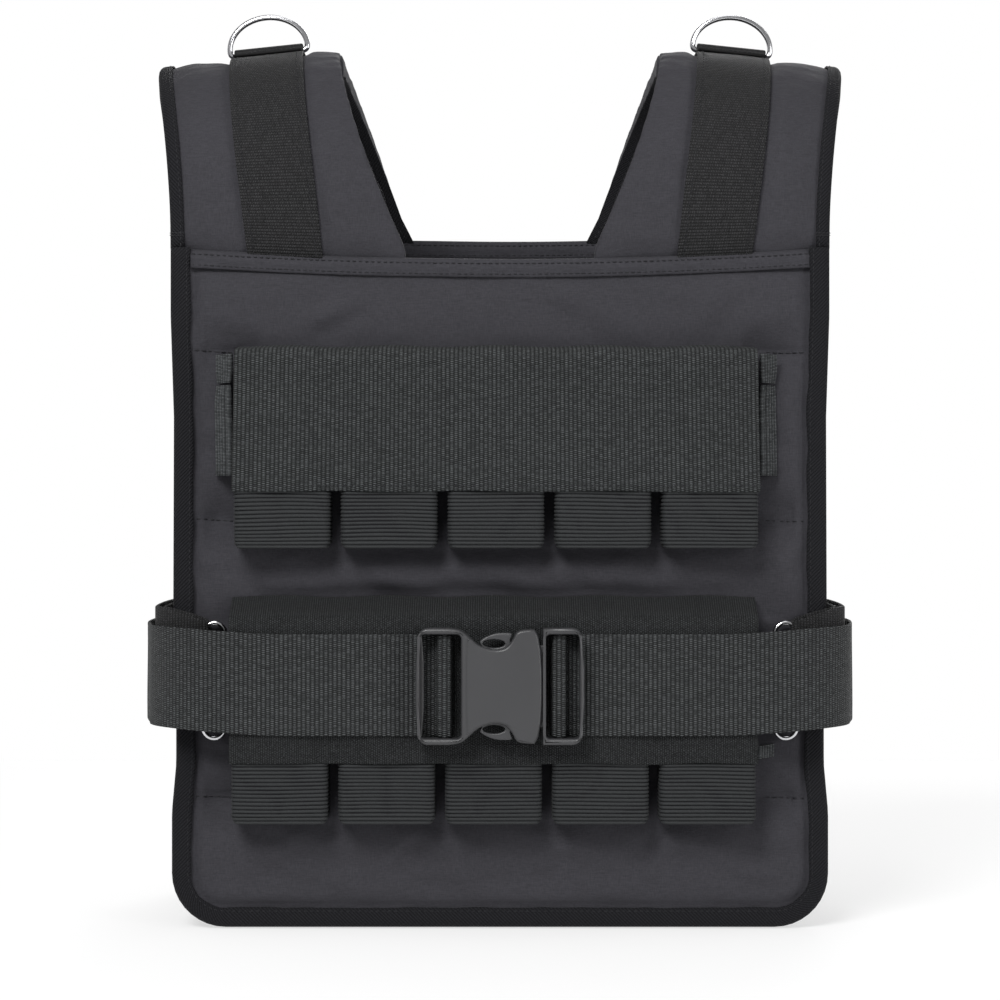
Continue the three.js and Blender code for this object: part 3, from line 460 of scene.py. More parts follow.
def twill_group():
    """Diagonal ridges of a twill tape, broken into threads."""
    tree, s, into, out = node_group("Twill tape", [
        ("Vector", VECTOR, None), ("Ridges", FLOAT, 6.0), ("Slope", FLOAT, 1.0)],
        [("Height", FLOAT)])
    split = s.add("ShaderNodeSeparateXYZ", Vector=into.outputs["Vector"])
    lean = s.math("MULTIPLY", split.outputs["Y"], into.outputs["Slope"])
    across = s.math("MULTIPLY", s.math("ADD", split.outputs["X"], lean), into.outputs["Ridges"])
    ridge = s.math("ABSOLUTE", s.math("SINE", s.math("MULTIPLY", across, math.pi)))
    along = s.math("MULTIPLY", s.math("SUBTRACT", split.outputs["Y"], split.outputs["X"]), 22.0)
    thread = s.math("MULTIPLY_ADD", s.math("SINE", along), 0.18, 0.82)
    s.feed(out, "Height", s.math("MULTIPLY", ridge, thread))
    return tree


def wear_group():
    """Large soft patches and fine lint: a factor for colour and one for roughness."""
    tree, s, into, out = node_group("Cloth wear", [
        ("Vector", VECTOR, None), ("Patches", FLOAT, 14.0), ("Lint", FLOAT, 900.0),
        ("Amount", FLOAT, 0.12)], [("Tone", FLOAT), ("Roughness", FLOAT)])
    patch = s.add("ShaderNodeTexNoise", Vector=into.outputs["Vector"], Scale=into.outputs["Patches"],
                  Detail=3.0, Roughness=0.6)
    lint = s.add("ShaderNodeTexNoise", Vector=into.outputs["Vector"], Scale=into.outputs["Lint"],
                 Detail=2.0)
    soft = s.math("SUBTRACT", patch.outputs[0], 0.5)
    fine = s.math("SUBTRACT", lint.outputs[0], 0.5)
    sum_ = s.math("ADD", soft, s.math("MULTIPLY", fine, 0.9))
    s.feed(out, "Tone", s.math("MULTIPLY_ADD", sum_, into.outputs["Amount"], 1.0))
    s.feed(out, "Roughness", s.math("MULTIPLY", soft, 0.18))
    return tree


WEAVE, TWILL, WEAR = weave_group(), twill_group(), wear_group()


def tinted(s, color, *factors):
    """The colour times each factor."""
    out = color
    for factor in factors:
        node = s.add("ShaderNodeVectorMath", {"operation": "SCALE"}, Scale=factor)
        s.feed(node, "Vector", out)
        out = node.outputs[0]
    return out


def material(name, roughness, sheen=0.0, metallic=0.0, specular=0.5):
    mat = bpy.data.materials.new(name)
    mat.use_nodes = True
    s = Shader(mat.node_tree)
    shader = mat.node_tree.nodes["Principled BSDF"]
    shader.inputs["Roughness"].default_value = roughness
    shader.inputs["Sheen Weight"].default_value = sheen
    shader.inputs["Sheen Roughness"].default_value = 0.4
    shader.inputs["Metallic"].default_value = metallic
    shader.inputs["Specular IOR Level"].default_value = specular
    place = s.add("ShaderNodeTexCoord")
    return mat, s, shader, place


def finish_cloth(s, shader, place, color, tone, height, distance, strength, roughness, amount=0.12):
    wear = s.group(WEAR, Vector=place.outputs["Object"], Amount=amount)
    s.feed(shader, "Base Color", tinted(s, color, tone, wear.outputs["Tone"]))
    s.feed(shader, "Roughness", s.math("ADD", roughness, wear.outputs["Roughness"]))
    bump = s.add("ShaderNodeBump", Strength=strength, Distance=distance, Height=height)
    s.feed(shader, "Normal", bump.outputs[0])


def nylon_material():
    """Fine plain weave seen on the padded cloth; its threads follow the object's own axes."""
    mat, s, shader, place = material("padded_nylon", 0.82, sheen=0.05, specular=0.16)
    streaks = []
    for stretch in ((260, 260, 2600), (2600, 2600, 300)):
        run = s.add("ShaderNodeMapping", Vector=place.outputs["Object"], Scale=stretch)
        streaks.append(s.add("ShaderNodeTexNoise", Vector=run.outputs[0], Scale=1.0, Detail=1.0).outputs[0])
    threads = s.math("SUBTRACT", s.math("ADD", *streaks), 1.0)
    crumple = s.add("ShaderNodeTexNoise", Vector=place.outputs["Object"], Scale=55.0, Detail=4.0,
                    Roughness=0.55)
    height = s.math("ADD", s.math("MULTIPLY", threads, 0.12), s.math("MULTIPLY", crumple.outputs[0], 0.9))
    tone = s.math("MULTIPLY_ADD", threads, 0.55, 1.0)
    finish_cloth(s, shader, place, (0.031, 0.0302, 0.0352), tone, height, 0.0016, 0.6, 0.84, 0.26)
    return mat


def webbing_material(name, color, along, across, stagger, depth, contrast):
    mat, s, shader, place = material(name, 0.7, sheen=0.02, specular=0.14)
    weave = s.group(WEAVE, Vector=place.outputs["UV"], Along=along, Across=across, Stagger=stagger)
    # The colour follows the weave's height: the raised threads are painted lighter and the hollows between them
    # darker, as painted shade in the hollows; the thread noise adds a random tone to each thread.
    ridge_light = s.math("MULTIPLY_ADD", weave.outputs["Thread"], contrast, contrast * 0.9)
    tone = s.math("MULTIPLY_ADD", weave.outputs["Height"], ridge_light, 0.42)
    finish_cloth(s, shader, place, color, tone, weave.outputs["Height"], depth, 0.9, 0.66, 0.16)
    return mat


def twill_material():
    mat, s, shader, place = material("twill_tape", 0.8, sheen=0.02, specular=0.12)
    twill = s.group(TWILL, Vector=place.outputs["UV"], Ridges=5.5, Slope=1.0)
    # Painted shade: the tape is painted darker in the hollows between its diagonal ridges and lighter on the
    # ridges.
    tone = s.math("MULTIPLY_ADD", twill.outputs["Height"], 0.9, 0.45)
    finish_cloth(s, shader, place, (0.0095, 0.0095, 0.0112), tone, twill.outputs["Height"], 0.0005, 0.8,
                 0.8, 0.2)
    return mat


def grained(name, color, scale, detail, spread, depth, strength, roughness, amount=0.12, **look):
    """A finish with one grain that varies its tone by spread and roughens its surface."""
    mat, s, shader, place = material(name, roughness, **look)
    grain = s.add("ShaderNodeTexNoise", Vector=place.outputs["Object"], Scale=scale, Detail=detail)
    tone = s.math("MULTIPLY_ADD", grain.outputs[0], spread, 1 - spread / 2)
    finish_cloth(s, shader, place, color, tone, grain.outputs[0], depth, strength, roughness, amount)
    return mat


def plastic_material():
    """Moulded acetal: a fine grain and faint flow marks."""
    mat, s, shader, place = material("moulded_plastic", 0.42, specular=0.5)
    grain = s.add("ShaderNodeTexNoise", Vector=place.outputs["Object"], Scale=2400.0, Detail=2.0)
    flow = s.add("ShaderNodeTexNoise", Vector=place.outputs["Object"], Scale=60.0, Detail=3.0)
    tone = s.math("MULTIPLY_ADD", flow.outputs[0], 0.16, 0.92)
    finish_cloth(s, shader, place, (0.031, 0.0313, 0.0335), tone, grain.outputs[0], 0.00006, 0.5, 0.40, 0.08)
    return mat


NYLON = nylon_material()
BELT_WEB = webbing_material("belt_webbing", (0.0175, 0.0186, 0.019), 4.55, 9.5, 0.5, 0.0009, 2.6)
FLAP_WEB = webbing_material("flap_webbing", (0.018, 0.0193, 0.0197), 4.75, 9.5, 0.5, 0.0009, 2.4)
SHOULDER_WEB = webbing_material("shoulder_webbing", (0.0172, 0.0172, 0.0178), 6.4, 12.0, 0.5, 0.0006, 1.3)
FLAP_CLOTH = webbing_material("flap_cloth", (0.0088, 0.0094, 0.0097), 9.0, 12.0, 0.5, 0.0005, 2.6)
TWILL_TAPE = twill_material()
ELASTIC = grained("ribbed_elastic", (0.026, 0.0275, 0.0285), 1600.0, 2.0, 0.7, 0.0003, 0.5, 0.72, 0.18,
                  sheen=0.02, specular=0.14)
# The side elastic's ribs are painted lighter and the gaps between them darker, as painted shade.
SIDE_ELASTIC = webbing_material("side_elastic", (0.024, 0.0255, 0.0265), 14.0, 3.25, 0.0, 0.0009, 3.2)
# A near-black shell under the elastic ribs: painted shade seen between the ribs and under the pockets.
RIB_SHADE_SHELL = grained("painted_rib_shade", (0.008, 0.008, 0.009), 1200.0, 2.0, 0.6, 0.0002, 0.4, 0.88, specular=0.08)
THREAD = grained("sewing_thread", (0.011, 0.011, 0.013), 2600.0, 1.0, 0.6, 0.0001, 0.4, 0.55,
                 sheen=0.02, specular=0.2)
PLASTIC = plastic_material()
STEEL = grained("polished_steel", (0.62, 0.62, 0.64), 420.0, 4.0, 0.2, 0.00003, 0.3, 0.16, 0.06, metallic=1.0)
IRON = grained("painted_iron", (0.03, 0.03, 0.032), 500.0, 4.0, 0.5, 0.0003, 0.5, 0.6)


# ---------------------------------------------------------------- repeated things: geometry nodes
def realized(s, laid, into):
    """Instances as a smooth mesh with the tree's finish."""
    real = s.add("GeometryNodeRealizeInstances", Geometry=laid.outputs[0])
    shade = s.add("GeometryNodeSetShadeSmooth", Geometry=real.outputs[0])
    done = s.add("GeometryNodeSetMaterial", Geometry=shade.outputs[0], Material=into.outputs["Finish"])
    return done.outputs[0]


def stitch_tree():
    """A thread on every point, laid along the point's own direction and flat on the cloth."""
    tree, s, into, out = node_group("Row of stitches", [
        ("Points", GEOMETRY, None), ("Length", FLOAT, 0.0022), ("Width", FLOAT, 0.0006),
        ("Height", FLOAT, 0.0005), ("Seed", WHOLE, 3), ("Finish", FINISH, None)],
        [("Stitches", GEOMETRY)], "GeometryNodeTree")
    knot = s.add("GeometryNodeMeshUVSphere", Segments=6, Rings=4, Radius=0.5)
    size = s.add("ShaderNodeCombineXYZ", X=into.outputs["Length"], Y=into.outputs["Width"],
                 Z=into.outputs["Height"])
    thread = s.add("GeometryNodeTransform", Geometry=knot.outputs[0], Scale=size.outputs[0])
    along = s.add("GeometryNodeInputNamedAttribute", {"data_type": "FLOAT_VECTOR"}, Name="along")
    facing = s.add("GeometryNodeInputNamedAttribute", {"data_type": "FLOAT_VECTOR"}, Name="facing")
    lay = s.add("FunctionNodeAlignRotationToVector", {"axis": "X"}, Vector=along.outputs[0])
    turn = s.add("FunctionNodeAlignRotationToVector", {"axis": "Z", "pivot_axis": "X"},
                 Rotation=lay.outputs[0], Vector=facing.outputs[0])
    spread = s.add("FunctionNodeRandomValue", {"data_type": "FLOAT"}, Seed=into.outputs["Seed"])
    for socket in spread.inputs:
        if socket.enabled and socket.name in ("Min", "Max"):
            socket.default_value = 0.86 if socket.name == "Min" else 1.08
    chance = next(o for o in spread.outputs if o.enabled)
    laid = s.add("GeometryNodeInstanceOnPoints", Points=into.outputs["Points"],
                 Instance=thread.outputs[0], Rotation=turn.outputs[0], Scale=chance)
    s.feed(out, "Stitches", realized(s, laid, into))
    return tree


def rib_tree():
    """Cords of elastic wound round a closed outline, one above another."""
    tree, s, into, out = node_group("Elastic ribs", [
        ("Outline", GEOMETRY, None), ("Ribs", WHOLE, 49), ("Pitch", FLOAT, 0.0019),
        ("Cord", FLOAT, 0.0008), ("Finish", FINISH, None)], [("Ribs", GEOMETRY)], "GeometryNodeTree")
    path = s.add("GeometryNodeMeshToCurve", Mesh=into.outputs["Outline"])
    section = s.add("GeometryNodeCurvePrimitiveCircle", Resolution=6, Radius=into.outputs["Cord"])
    cord = s.add("GeometryNodeCurveToMesh", Curve=path.outputs[0], Profile_Curve=section.outputs[0])
    step = s.add("ShaderNodeCombineXYZ", X=0.0, Y=0.0, Z=into.outputs["Pitch"])
    line = s.add("GeometryNodeMeshLine", Count=into.outputs["Ribs"], Offset=step.outputs[0])
    laid = s.add("GeometryNodeInstanceOnPoints", Points=line.outputs[0], Instance=cord.outputs[0])
    s.feed(out, "Ribs", realized(s, laid, into))
    return tree


def grown(name, mesh, tree, **values):
    """The mesh that a geometry tree makes from another, with its inputs set by name."""
    carrier = linked(name + "_carrier", mesh)
    modifier = carrier.modifiers.new("made", "NODES")
    modifier.node_group = tree
    for item in tree.interface.items_tree:
        if item.in_out == "INPUT" and item.name in values:
            modifier[item.identifier] = values[item.name]
    made = mesh_of(carrier)
    bpy.data.objects.remove(carrier)
    made.name = name
    return made


STITCHES, RIBS = stitch_tree(), rib_tree()


class Seams:
    """Stitch places gathered for one finished piece."""

    def __init__(self):
        self.places, self.along, self.facing = [], [], []

    def sew(self, points, facing, pitch=3.2, depth=0.0):
        """Stitches at even steps along a line; facing is the way out of the cloth."""
        points = np.asarray(points, float)
        facing = np.broadcast_to(np.asarray(facing, float), points.shape)
        run = run_of(points)
        at = np.arange(pitch / 2, run[-1], pitch)
        if not len(at):
            return
        place = at_run(at, run, points)
        ahead = at_run(at + 0.4, run, points)
        behind = at_run(at - 0.4, run, points)
        out = unit(at_run(at, run, facing))
        self.places.append(place - out * depth)
        self.along.append(unit(ahead - behind))
        self.facing.append(out)

    def piece(self, name, length=2.3, width=0.62, height=0.5):
        mesh = bpy.data.meshes.new(name + "_places")
        mesh.from_pydata(to_frame(np.vstack(self.places)).tolist(), [], [])
        for label, rows in (("along", self.along), ("facing", self.facing)):
            layer = mesh.attributes.new(label, "FLOAT_VECTOR", "POINT")
            layer.data.foreach_set("vector", np.vstack(rows).astype(np.float32).ravel())
        made = grown(name, mesh, STITCHES, Length=length * MM, Width=width * MM,
                     Height=height * MM, Seed=5, Finish=THREAD)
        return piece(name, made, THREAD)


# ---------------------------------------------------------------- padded pieces
PANEL_VOXEL, PANEL_PUFF = 5.0, 6.0
PAD_VOXEL, PAD_PUFF = 4.0, 3.0
PUFF_RUN, PIN_RUN = 14, 5          # how far from a seam the cloth is full, and held
ROWS_REACH = 131                   # half the width that the pocket rows press flat
PRESSED_ROWS = ((48, 168), (186, 294))
PRESSED_STRAPS = (94, 166)
CREASE, CREASE_WIDTH, QUILT, QUILT_WIDTH = 2.6, 1.6, 4.6, 11
GROOVE, GROOVE_WIDTH = 2.2, 1.8    # the dark seam beside the binding


def stuffed(name, voxel, cap, pinned):
    """A padded piece from the solid's own shape: remeshed, blown up against its sewn edges by
    the cloth solver, held to cap(places) millimetres and divided once more."""
    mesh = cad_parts[name].data.copy()
    weld(mesh, 2e-5)
    obj = linked(name + "_form", mesh)
    remesh = obj.modifiers.new("voxels", "REMESH")
    remesh.mode, remesh.voxel_size = "VOXEL", voxel * MM
    relax = obj.modifiers.new("relax", "SMOOTH")
    relax.factor, relax.iterations = 0.5, 3
    obj.data = mesh_of(obj)
    obj.modifiers.clear()
    start = coordinates(obj.data)
    places = from_frame(start)
    held = obj.vertex_groups.new(name="sewn")
    share = pinned(places)
    for index in np.nonzero(share > 0)[0]:
        held.add([int(index)], float(share[index]), "REPLACE")
    cloth = obj.modifiers.new("cloth", "CLOTH")
    cloth.settings.quality = 4
    cloth.settings.mass = 0.2
    cloth.settings.tension_stiffness = cloth.settings.compression_stiffness = 12
    cloth.settings.bending_stiffness = 0.6
    cloth.settings.vertex_group_mass = "sewn"
    cloth.settings.use_pressure = True
    cloth.settings.uniform_pressure_force = 4
    cloth.settings.effector_weights.gravity = 0
    cloth.point_cache.frame_start, cloth.point_cache.frame_end = 1, 20
    scene = bpy.context.scene
    for step in range(1, 21):
        scene.frame_set(step)
    blown = mesh_of(obj)
    obj.modifiers.clear()
    scene.frame_set(1)
    move = coordinates(blown) - start
    most = cap(places) * MM
    length = np.linalg.norm(move, axis=1)
    move *= np.minimum(1, most / np.maximum(length, 1e-9))[:, None]
    put_coordinates(blown, start + move)
    obj.data = blown
    divide = obj.modifiers.new("divide", "SUBSURF")
    divide.levels = divide.render_levels = 1
    made = mesh_of(obj)
    bpy.data.objects.remove(obj)
    made.name = name
    return made


def seam_press(places, sides_only):
    """How deep the quilting seams press the cloth in, with small puckers along them."""
    x, z = places[:, 0], places[:, 2]
    seams = np.array(QUILT_SEAMS)
    gap = np.abs(z[:, None] - seams[None, :] - 0.8 * ripple(x, 0 * x, 40, 4)[:, None])
    nearest = gap.min(axis=1)
    reach = smooth((np.abs(x) - 118) / 12) if sides_only else np.ones_like(x)
    crease = CREASE * np.exp(-(nearest / CREASE_WIDTH) ** 2) + QUILT * np.exp(-(nearest / QUILT_WIDTH) ** 2)
    pucker = 1.0 * ripple(x, z, 9, 8, 3.0) * np.exp(-(nearest / 9) ** 2)
    return reach * (crease + pucker)


def dress_panel(name, out, height, seams):
    middle = BODY_DEPTH / 2 * out

    def depth_of(places):
        return (places[:, 1] - middle) * out

    def clear_of_edge(places):
        side = half_width_at(places[:, 2]) - np.abs(places[:, 0])
        corner_x = PANEL_WIDTH / 2 - PANEL_CORNER
        corner = PANEL_CORNER - np.hypot(np.maximum(0, np.abs(places[:, 0]) - corner_x),
                                         np.maximum(0, PANEL_CORNER - places[:, 2]))
        top = height - HEM_HEIGHT - places[:, 2]
        low = np.minimum(places[:, 2], corner)
        return np.minimum(np.minimum(side, low) - BINDING_WIDTH, top)

    def pinned(places):
        return 1 - smooth(clear_of_edge(places) / PIN_RUN)

    def cap(places):
        z, outside = places[:, 2], depth_of(places) > 0
        behind = (np.abs(places[:, 0]) < ROWS_REACH) & (out < 0)
        rows = np.any([(z > low) & (z < high) for low, high in PRESSED_ROWS], axis=0)
        straps = (z > PRESSED_STRAPS[0]) & (z < PRESSED_STRAPS[1])
        firm = (behind & rows | straps) & outside
        return np.where(firm, 0.2, PANEL_PUFF * smooth(clear_of_edge(places) / PUFF_RUN))

    mesh = stuffed(name, PANEL_VOXEL, cap, pinned)
    co, no = coordinates(mesh), normals_of(mesh)
    places = from_frame(co)
    free = smooth(clear_of_edge(places) / 10)
    outer = depth_of(places) > 0
    press = np.where(outer, seam_press(places, out < 0), 0.8 * seam_press(places, False))
    low = 0.45 + 0.9 * smooth((270 - places[:, 2]) / 60)
    wrinkles = free * low * (0.95 * ripple(places[:, 0], places[:, 2], 36, 11, 0.5)
                       + 0.45 * ripple(places[:, 0], places[:, 2], 15, 12 if out < 0 else 13))
    folds = np.zeros(len(places))
    if out < 0:
        for x0, z0, x1, z1, width, lift in FRONT_FOLDS:
            folds += lift * fold_ridge(places, x0, z0, x1, z1, width)
    tucked = GROOVE * np.exp(-((clear_of_edge(places) - 1) / GROOVE_WIDTH) ** 2)
    move = wrinkles + folds * outer - press * free - tucked
    behind_rows = (cap(places) < 0.3) & outer
    move = np.where(behind_rows, np.minimum(move, 0.1) - 0.15, move)
    put_coordinates(mesh, co + no * (move * MM)[:, None])
    obj = dressed(name, name + "_cloth", mesh, NYLON)
    surface = BVHTree.FromPolygons(coordinates(mesh).tolist(),
                                   [tuple(p.vertices) for p in mesh.polygons])
    for z in QUILT_SEAMS:
        reach = float(half_width_at(z)) - BINDING_WIDTH - 1
        spans = ((-reach, -133), (133, reach)) if out < 0 else ((-reach, reach),)
        for start, end in spans:
            steps = max(6, int((end - start) / 4))
            sew_on_surface(surface, np.linspace(start, end, steps), z, out, seams)


def sew_on_surface(surface, x, z, out, seams):
    """Quilting stitches on the puffed cloth, found by looking at it from outside."""
    heights = z + 0.8 * ripple(x, 0 * x, 40, 4)
    places, facings = [], []
    for across, height in zip(x, heights):
        start = to_frame((across, out * (BODY_DEPTH / 2 + 40), height))
        hit, normal, _, _ = surface.ray_cast(Vector(start), Vector((0, -out, 0)))
        if hit:
            places.append(from_frame(np.array(hit)))
            facings.append(np.array(normal))
    seams.sew(np.array(places), np.array(facings), 3.4, -0.05)


def fold_ridge(places, x0, z0, x1, z1, width):
    """A fold of the cloth: high along a line from one point to another, fading at its ends."""
    ax, az = x1 - x0, z1 - z0
    length = math.hypot(ax, az)
    t = ((places[:, 0] - x0) * ax + (places[:, 2] - z0) * az) / length ** 2
    away = ((places[:, 0] - x0) * az - (places[:, 2] - z0) * ax) / length
    ends = smooth(t / 0.3) * smooth((1 - t) / 0.3)
    return ends * (np.exp(-(away / width) ** 2) - 0.6 * np.exp(-((away - 1.6 * width) / width) ** 2))


# Folds seen on the front panel: from, to, width and height
FRONT_FOLDS = (
    (-100, 300, -66, 316, 4.5, 1.8), (20, 322, 70, 300, 7, 1.1), (96, 300, 120, 326, 6, 1.2),
    (-60, 26, -44, 50, 4.0, 1.6), (86, 50, 70, 18, 4.5, 1.7), (-120, 34, -96, 46, 4, 0.9),
    (10, 30, 40, 44, 5, 0.9), (-148, 186, -136, 168, 4, 1.0), (140, 176, 150, 196, 4, 1.0),
    (-150, 252, -138, 238, 4, 0.9), (139, 252, 151, 240, 4, 0.9),
)


def dress_shoulder_pad(name, sign):
    node = f"shoulder_pad_{name}"

    def local(places):
        x = np.abs(places[:, 0])
        above = np.maximum(0, places[:, 2] - ARCH_HEIGHT)
        arch = np.hypot(places[:, 1], above)
        middle = ARCH_HEIGHT + (ARCH_RADIUS + PAD_THICKNESS / 2) * above / np.maximum(arch, 1)
        rise = rise_of(np.where(above > 0, middle, places[:, 2]))
        inner, outer = x - neck_at(rise), arm_at(rise) - x
        return x, arch - ARCH_RADIUS, rise, inner, outer

    def pinned(places):
        _, _, _, inner, outer = local(places)
        foot = places[:, 2] - foot_height(places[:, 1])
        edge = np.minimum(np.minimum(inner - 2, outer - SHOULDER_BINDING_WIDTH - 2), foot)
        return 1 - smooth(edge / PIN_RUN)

    def cap(places):
        x, lift, rise, inner, outer = local(places)
        under = (np.abs(x - strap_at(rise)) < STRAP_WIDTH / 2 + 3) & (lift > 0)
        edge = np.minimum(np.where(lift < 0, inner - 9, inner), outer - SHOULDER_BINDING_WIDTH)
        return np.where(under, 0.05, PAD_PUFF * smooth(edge / PUFF_RUN))

    mesh = stuffed(node, PAD_VOXEL, cap, pinned)
    co, no = coordinates(mesh), normals_of(mesh)
    places = from_frame(co)
    x, lift, rise, inner, outer = local(places)
    along = np.degrees(np.arctan2(places[:, 2] - ARCH_HEIGHT, -places[:, 1])) * 1.4
    under = smooth((np.abs(x - strap_at(rise)) - STRAP_WIDTH / 2) / 8)
    under = np.where(lift > 0, under, 1.0)
    free = smooth(np.minimum(np.where(lift < 0, inner - 8, inner), outer - SHOULDER_BINDING_WIDTH) / 10)
    move = 0.55 * ripple(x, along, 26, 21 if sign < 0 else 22, 1.8) + 0.25 * ripple(x, along, 11, 23)
    hold = 0.9 * np.exp(-((np.abs(x - strap_at(rise)) - STRAP_WIDTH / 2 - 1) / 2.6) ** 2) * (lift > 0)
    move = move * free * under - hold - 0.3 * (1 - under)
    places += no * move[:, None]
    x, lift, rise, inner, outer = local(places)
    ease = neck_ease(places)
    seam_gap = np.maximum(inner - 0.9, 0)
    across = x + ease * (1 - smooth(inner / 45)) - seam_gap * (1 - smooth(seam_gap / 5))
    places[:, 0] = sign * np.clip(across, neck_at(rise) + 0.9 + ease, arm_at(rise) - 1.6)
    under_tape = (lift < -3) & (inner < 11)
    radius = np.where(under_tape, ARCH_RADIUS - 6.1 - 1.9 * smooth((inner - 8) / 5), ARCH_RADIUS + lift)
    above = np.maximum(0, places[:, 2] - ARCH_HEIGHT)
    scale = radius / np.maximum(np.hypot(places[:, 1], above), 1)
    places[:, 1] *= scale
    places[:, 2] += above * (scale - 1)
    half = np.where(places[:, 1] < 0, -BODY_DEPTH / 2, BODY_DEPTH / 2)
    floor = neckline_at(foot_height(places[:, 1]), places[:, 0])
    tucked = smooth((floor + 9 - places[:, 2]) / 9)
    places[:, 2] -= 4.5 * tucked
    places[:, 1] = half + (places[:, 1] - half) * (1 - 0.3 * tucked)
    put_coordinates(mesh, to_frame(places))
    obj = dressed(node, node + "_cloth", mesh, NYLON)


# ---------------------------------------------------------------- tapes and hems
def dress_edge_binding(name, out, height, seams):
    middle = BODY_DEPTH / 2 * out
    x, z, inward = edge_path(height)
    section, v = channel_section(BINDING_WIDTH, PANEL_EDGE, TAPE, 3.6)
    u = run_of(np.column_stack([x, z]))
    pucker = 1 + 0.05 * ripple(u, 0 * u, 23, 31 if out < 0 else 32)
    a = section[None, :, 0] * pucker[:, None]
    b = section[None, :, 1] + 0.18 * ripple(u[:, None], v[None, :], 12, 33) * smooth(section[None, :, 0] / 3)
    b = np.where(section[None, :, 0] > 0.5, b, section[None, :, 1])
    points = np.stack([x[:, None] + inward[:, :1] * a, middle + b, z[:, None] + inward[:, 1:] * a], -1)
    mesh = ring_mesh(f"{name}_binding_tape", points, u, v)
    dressed(f"{name}_binding", f"{name}_binding_tape", mesh, TWILL_TAPE)
    reach = PANEL_EDGE / 2 + GAP + TAPE
    for face in (-1, 1):
        at = BINDING_WIDTH - 1.6
        line = np.column_stack([x + inward[:, 0] * at, np.full(len(x), middle + face * (reach + 0.05)),
                                z + inward[:, 1] * at])
        seams.sew(line, (0, face, 0), 3.0)


def dress_hem(name, node, out, height, seams):
    middle = BODY_DEPTH / 2 * out
    reach = float(half_width_at(height)) - BINDING_WIDTH - GAP
    x = np.linspace(reach, -reach, 96)
    section, v = channel_section(HEM_HEIGHT, PANEL_EDGE, TAPE, 4.0)
    a, b = section[None, :, 0], section[None, :, 1]
    outer = np.abs(b) > PANEL_EDGE / 2 + GAP + 0.5
    groove = sum(np.exp(-((a - at) / 0.8) ** 2) for at in (2.6, 8.0)) * 0.45 * outer
    swell = 0.35 * ripple(x[:, None], a * 3, 14, 41) * smooth((a - 1) / 3) * outer
    points = np.stack([x[:, None] + 0 * a, middle + b - np.sign(b) * groove + np.sign(b) * swell * 0.6,
                       neckline_at(height, x)[:, None] - a + 0.15 * ripple(x, 0 * x, 30, 42)[:, None]], -1)
    mesh = ring_mesh(name, points, np.abs(x[0] - x), v)
    dressed(node, name, mesh, NYLON)
    reach_y = PANEL_EDGE / 2 + GAP + TAPE
    for face in (-1, 1):
        for at in (2.6, 8.0):
            line = np.column_stack([x, np.full(len(x), middle + face * (reach_y - 0.3)),
                                    neckline_at(height, x) - at])
            seams.sew(line, (0, face, 0), 3.1)


def dress_shoulder_tapes(name, sign, seams):
    section, v = channel_section(SHOULDER_BINDING_WIDTH, PAD_EDGE, TAPE, 3.2)
    stations = shoulder_stations(4.0)
    points = np.array([[shoulder_point(st, lambda r: arm_at(r) - a, b, sign) for a, b in section]
                       for st in stations])
    u = run_of(points[:, 8])
    tape = f"shoulder_binding_{name}_tape"
    dressed(f"shoulder_binding_{name}", tape, ring_mesh(tape, points, u, v), TWILL_TAPE)
    for face in (-1, 1):
        lift = face * (PAD_EDGE / 2 + GAP + TAPE + 0.05)
        line, _, up = shoulder_strip(sign, lambda r: arm_at(r) - SHOULDER_BINDING_WIDTH + 1.5,
                                     lambda turn: lift)
        seams.sew(line, up * face, 3.0)
    for rise in (0.0, 1.1):
        bar = [(sign * x, -BODY_DEPTH / 2 - PAD_EDGE / 2 - GAP - TAPE - 0.1, FRONT_HEIGHT + 6 + rise)
               for x in np.linspace(158.5, 164.5, 8)]
        seams.sew(bar, (0, -1, 0), 0.9)
    half = SHOULDER_BINDING_WIDTH / 2
    origins, across, up = shoulder_strip(sign, lambda r: neck_at(r) + half,
                                         lambda turn: -PAD_EDGE / 2 - GAP - TAPE / 2 - 0.1, 4.0, 5.0)
    origins[:, 0] += sign * neck_ease(origins)
    facing = band(f"neck_facing_{name}_tape", origins, across, up, half, TAPE, 4,
                  lambda u, v: 0.12 * ripple(u, v, 14, 51))
    dressed(f"neck_facing_{name}", f"neck_facing_{name}_tape", facing, TWILL_TAPE)
    line, _, up = shoulder_strip(sign, lambda r: neck_at(r) + SHOULDER_BINDING_WIDTH - 1.4,
                                 lambda turn: -PAD_EDGE / 2 - GAP - TAPE - 0.15)
    line[:, 0] += sign * neck_ease(line)
    seams.sew(line, -up, 3.0)


# ---------------------------------------------------------------- webbing
STRAP_LIFT = PAD_THICKNESS / 2 + GAP


def dress_shoulder_webbing(name, sign, seams):
    lift = lambda turn: STRAP_LIFT + WEBBING / 2 - float(press_at(turn))
    origins, across, up = shoulder_strip(sign, strap_at, lift, 3.0, 2.0)
    floor = foot_height(origins[:, 1])
    origins[:, 1] -= np.sign(origins[:, 1]) * 2.4 * smooth((floor + 8 - origins[:, 2]) / 9)
    wave = lambda u, v: 0.22 * ripple(u, v, 46, 61 if sign < 0 else 62)
    mesh = band(f"shoulder_webbing_{name}_strap", origins, across, up, STRAP_WIDTH / 2, WEBBING, 14, wave)
    dressed(f"shoulder_webbing_{name}", f"shoulder_webbing_{name}_strap", mesh, SHOULDER_WEB)
    for edge in (-1, 1):
        line = origins + across * edge * (STRAP_WIDTH / 2 - 3.4) + up * (WEBBING / 2 + 0.1)
        seams.sew(line, up, 3.2)


def crest_place(sign, points):
    """Points given beside a D-ring's bar, in the seat's own axes."""
    points = np.asarray(points, float)
    cos, sin = RING_LEAN
    x = sign * (RING_SEAT[0] + points[..., 0] * cos + points[..., 2] * sin)
    z = RING_SEAT[2] - points[..., 0] * sin + points[..., 2] * cos
    return np.stack([x, points[..., 1], z], -1)


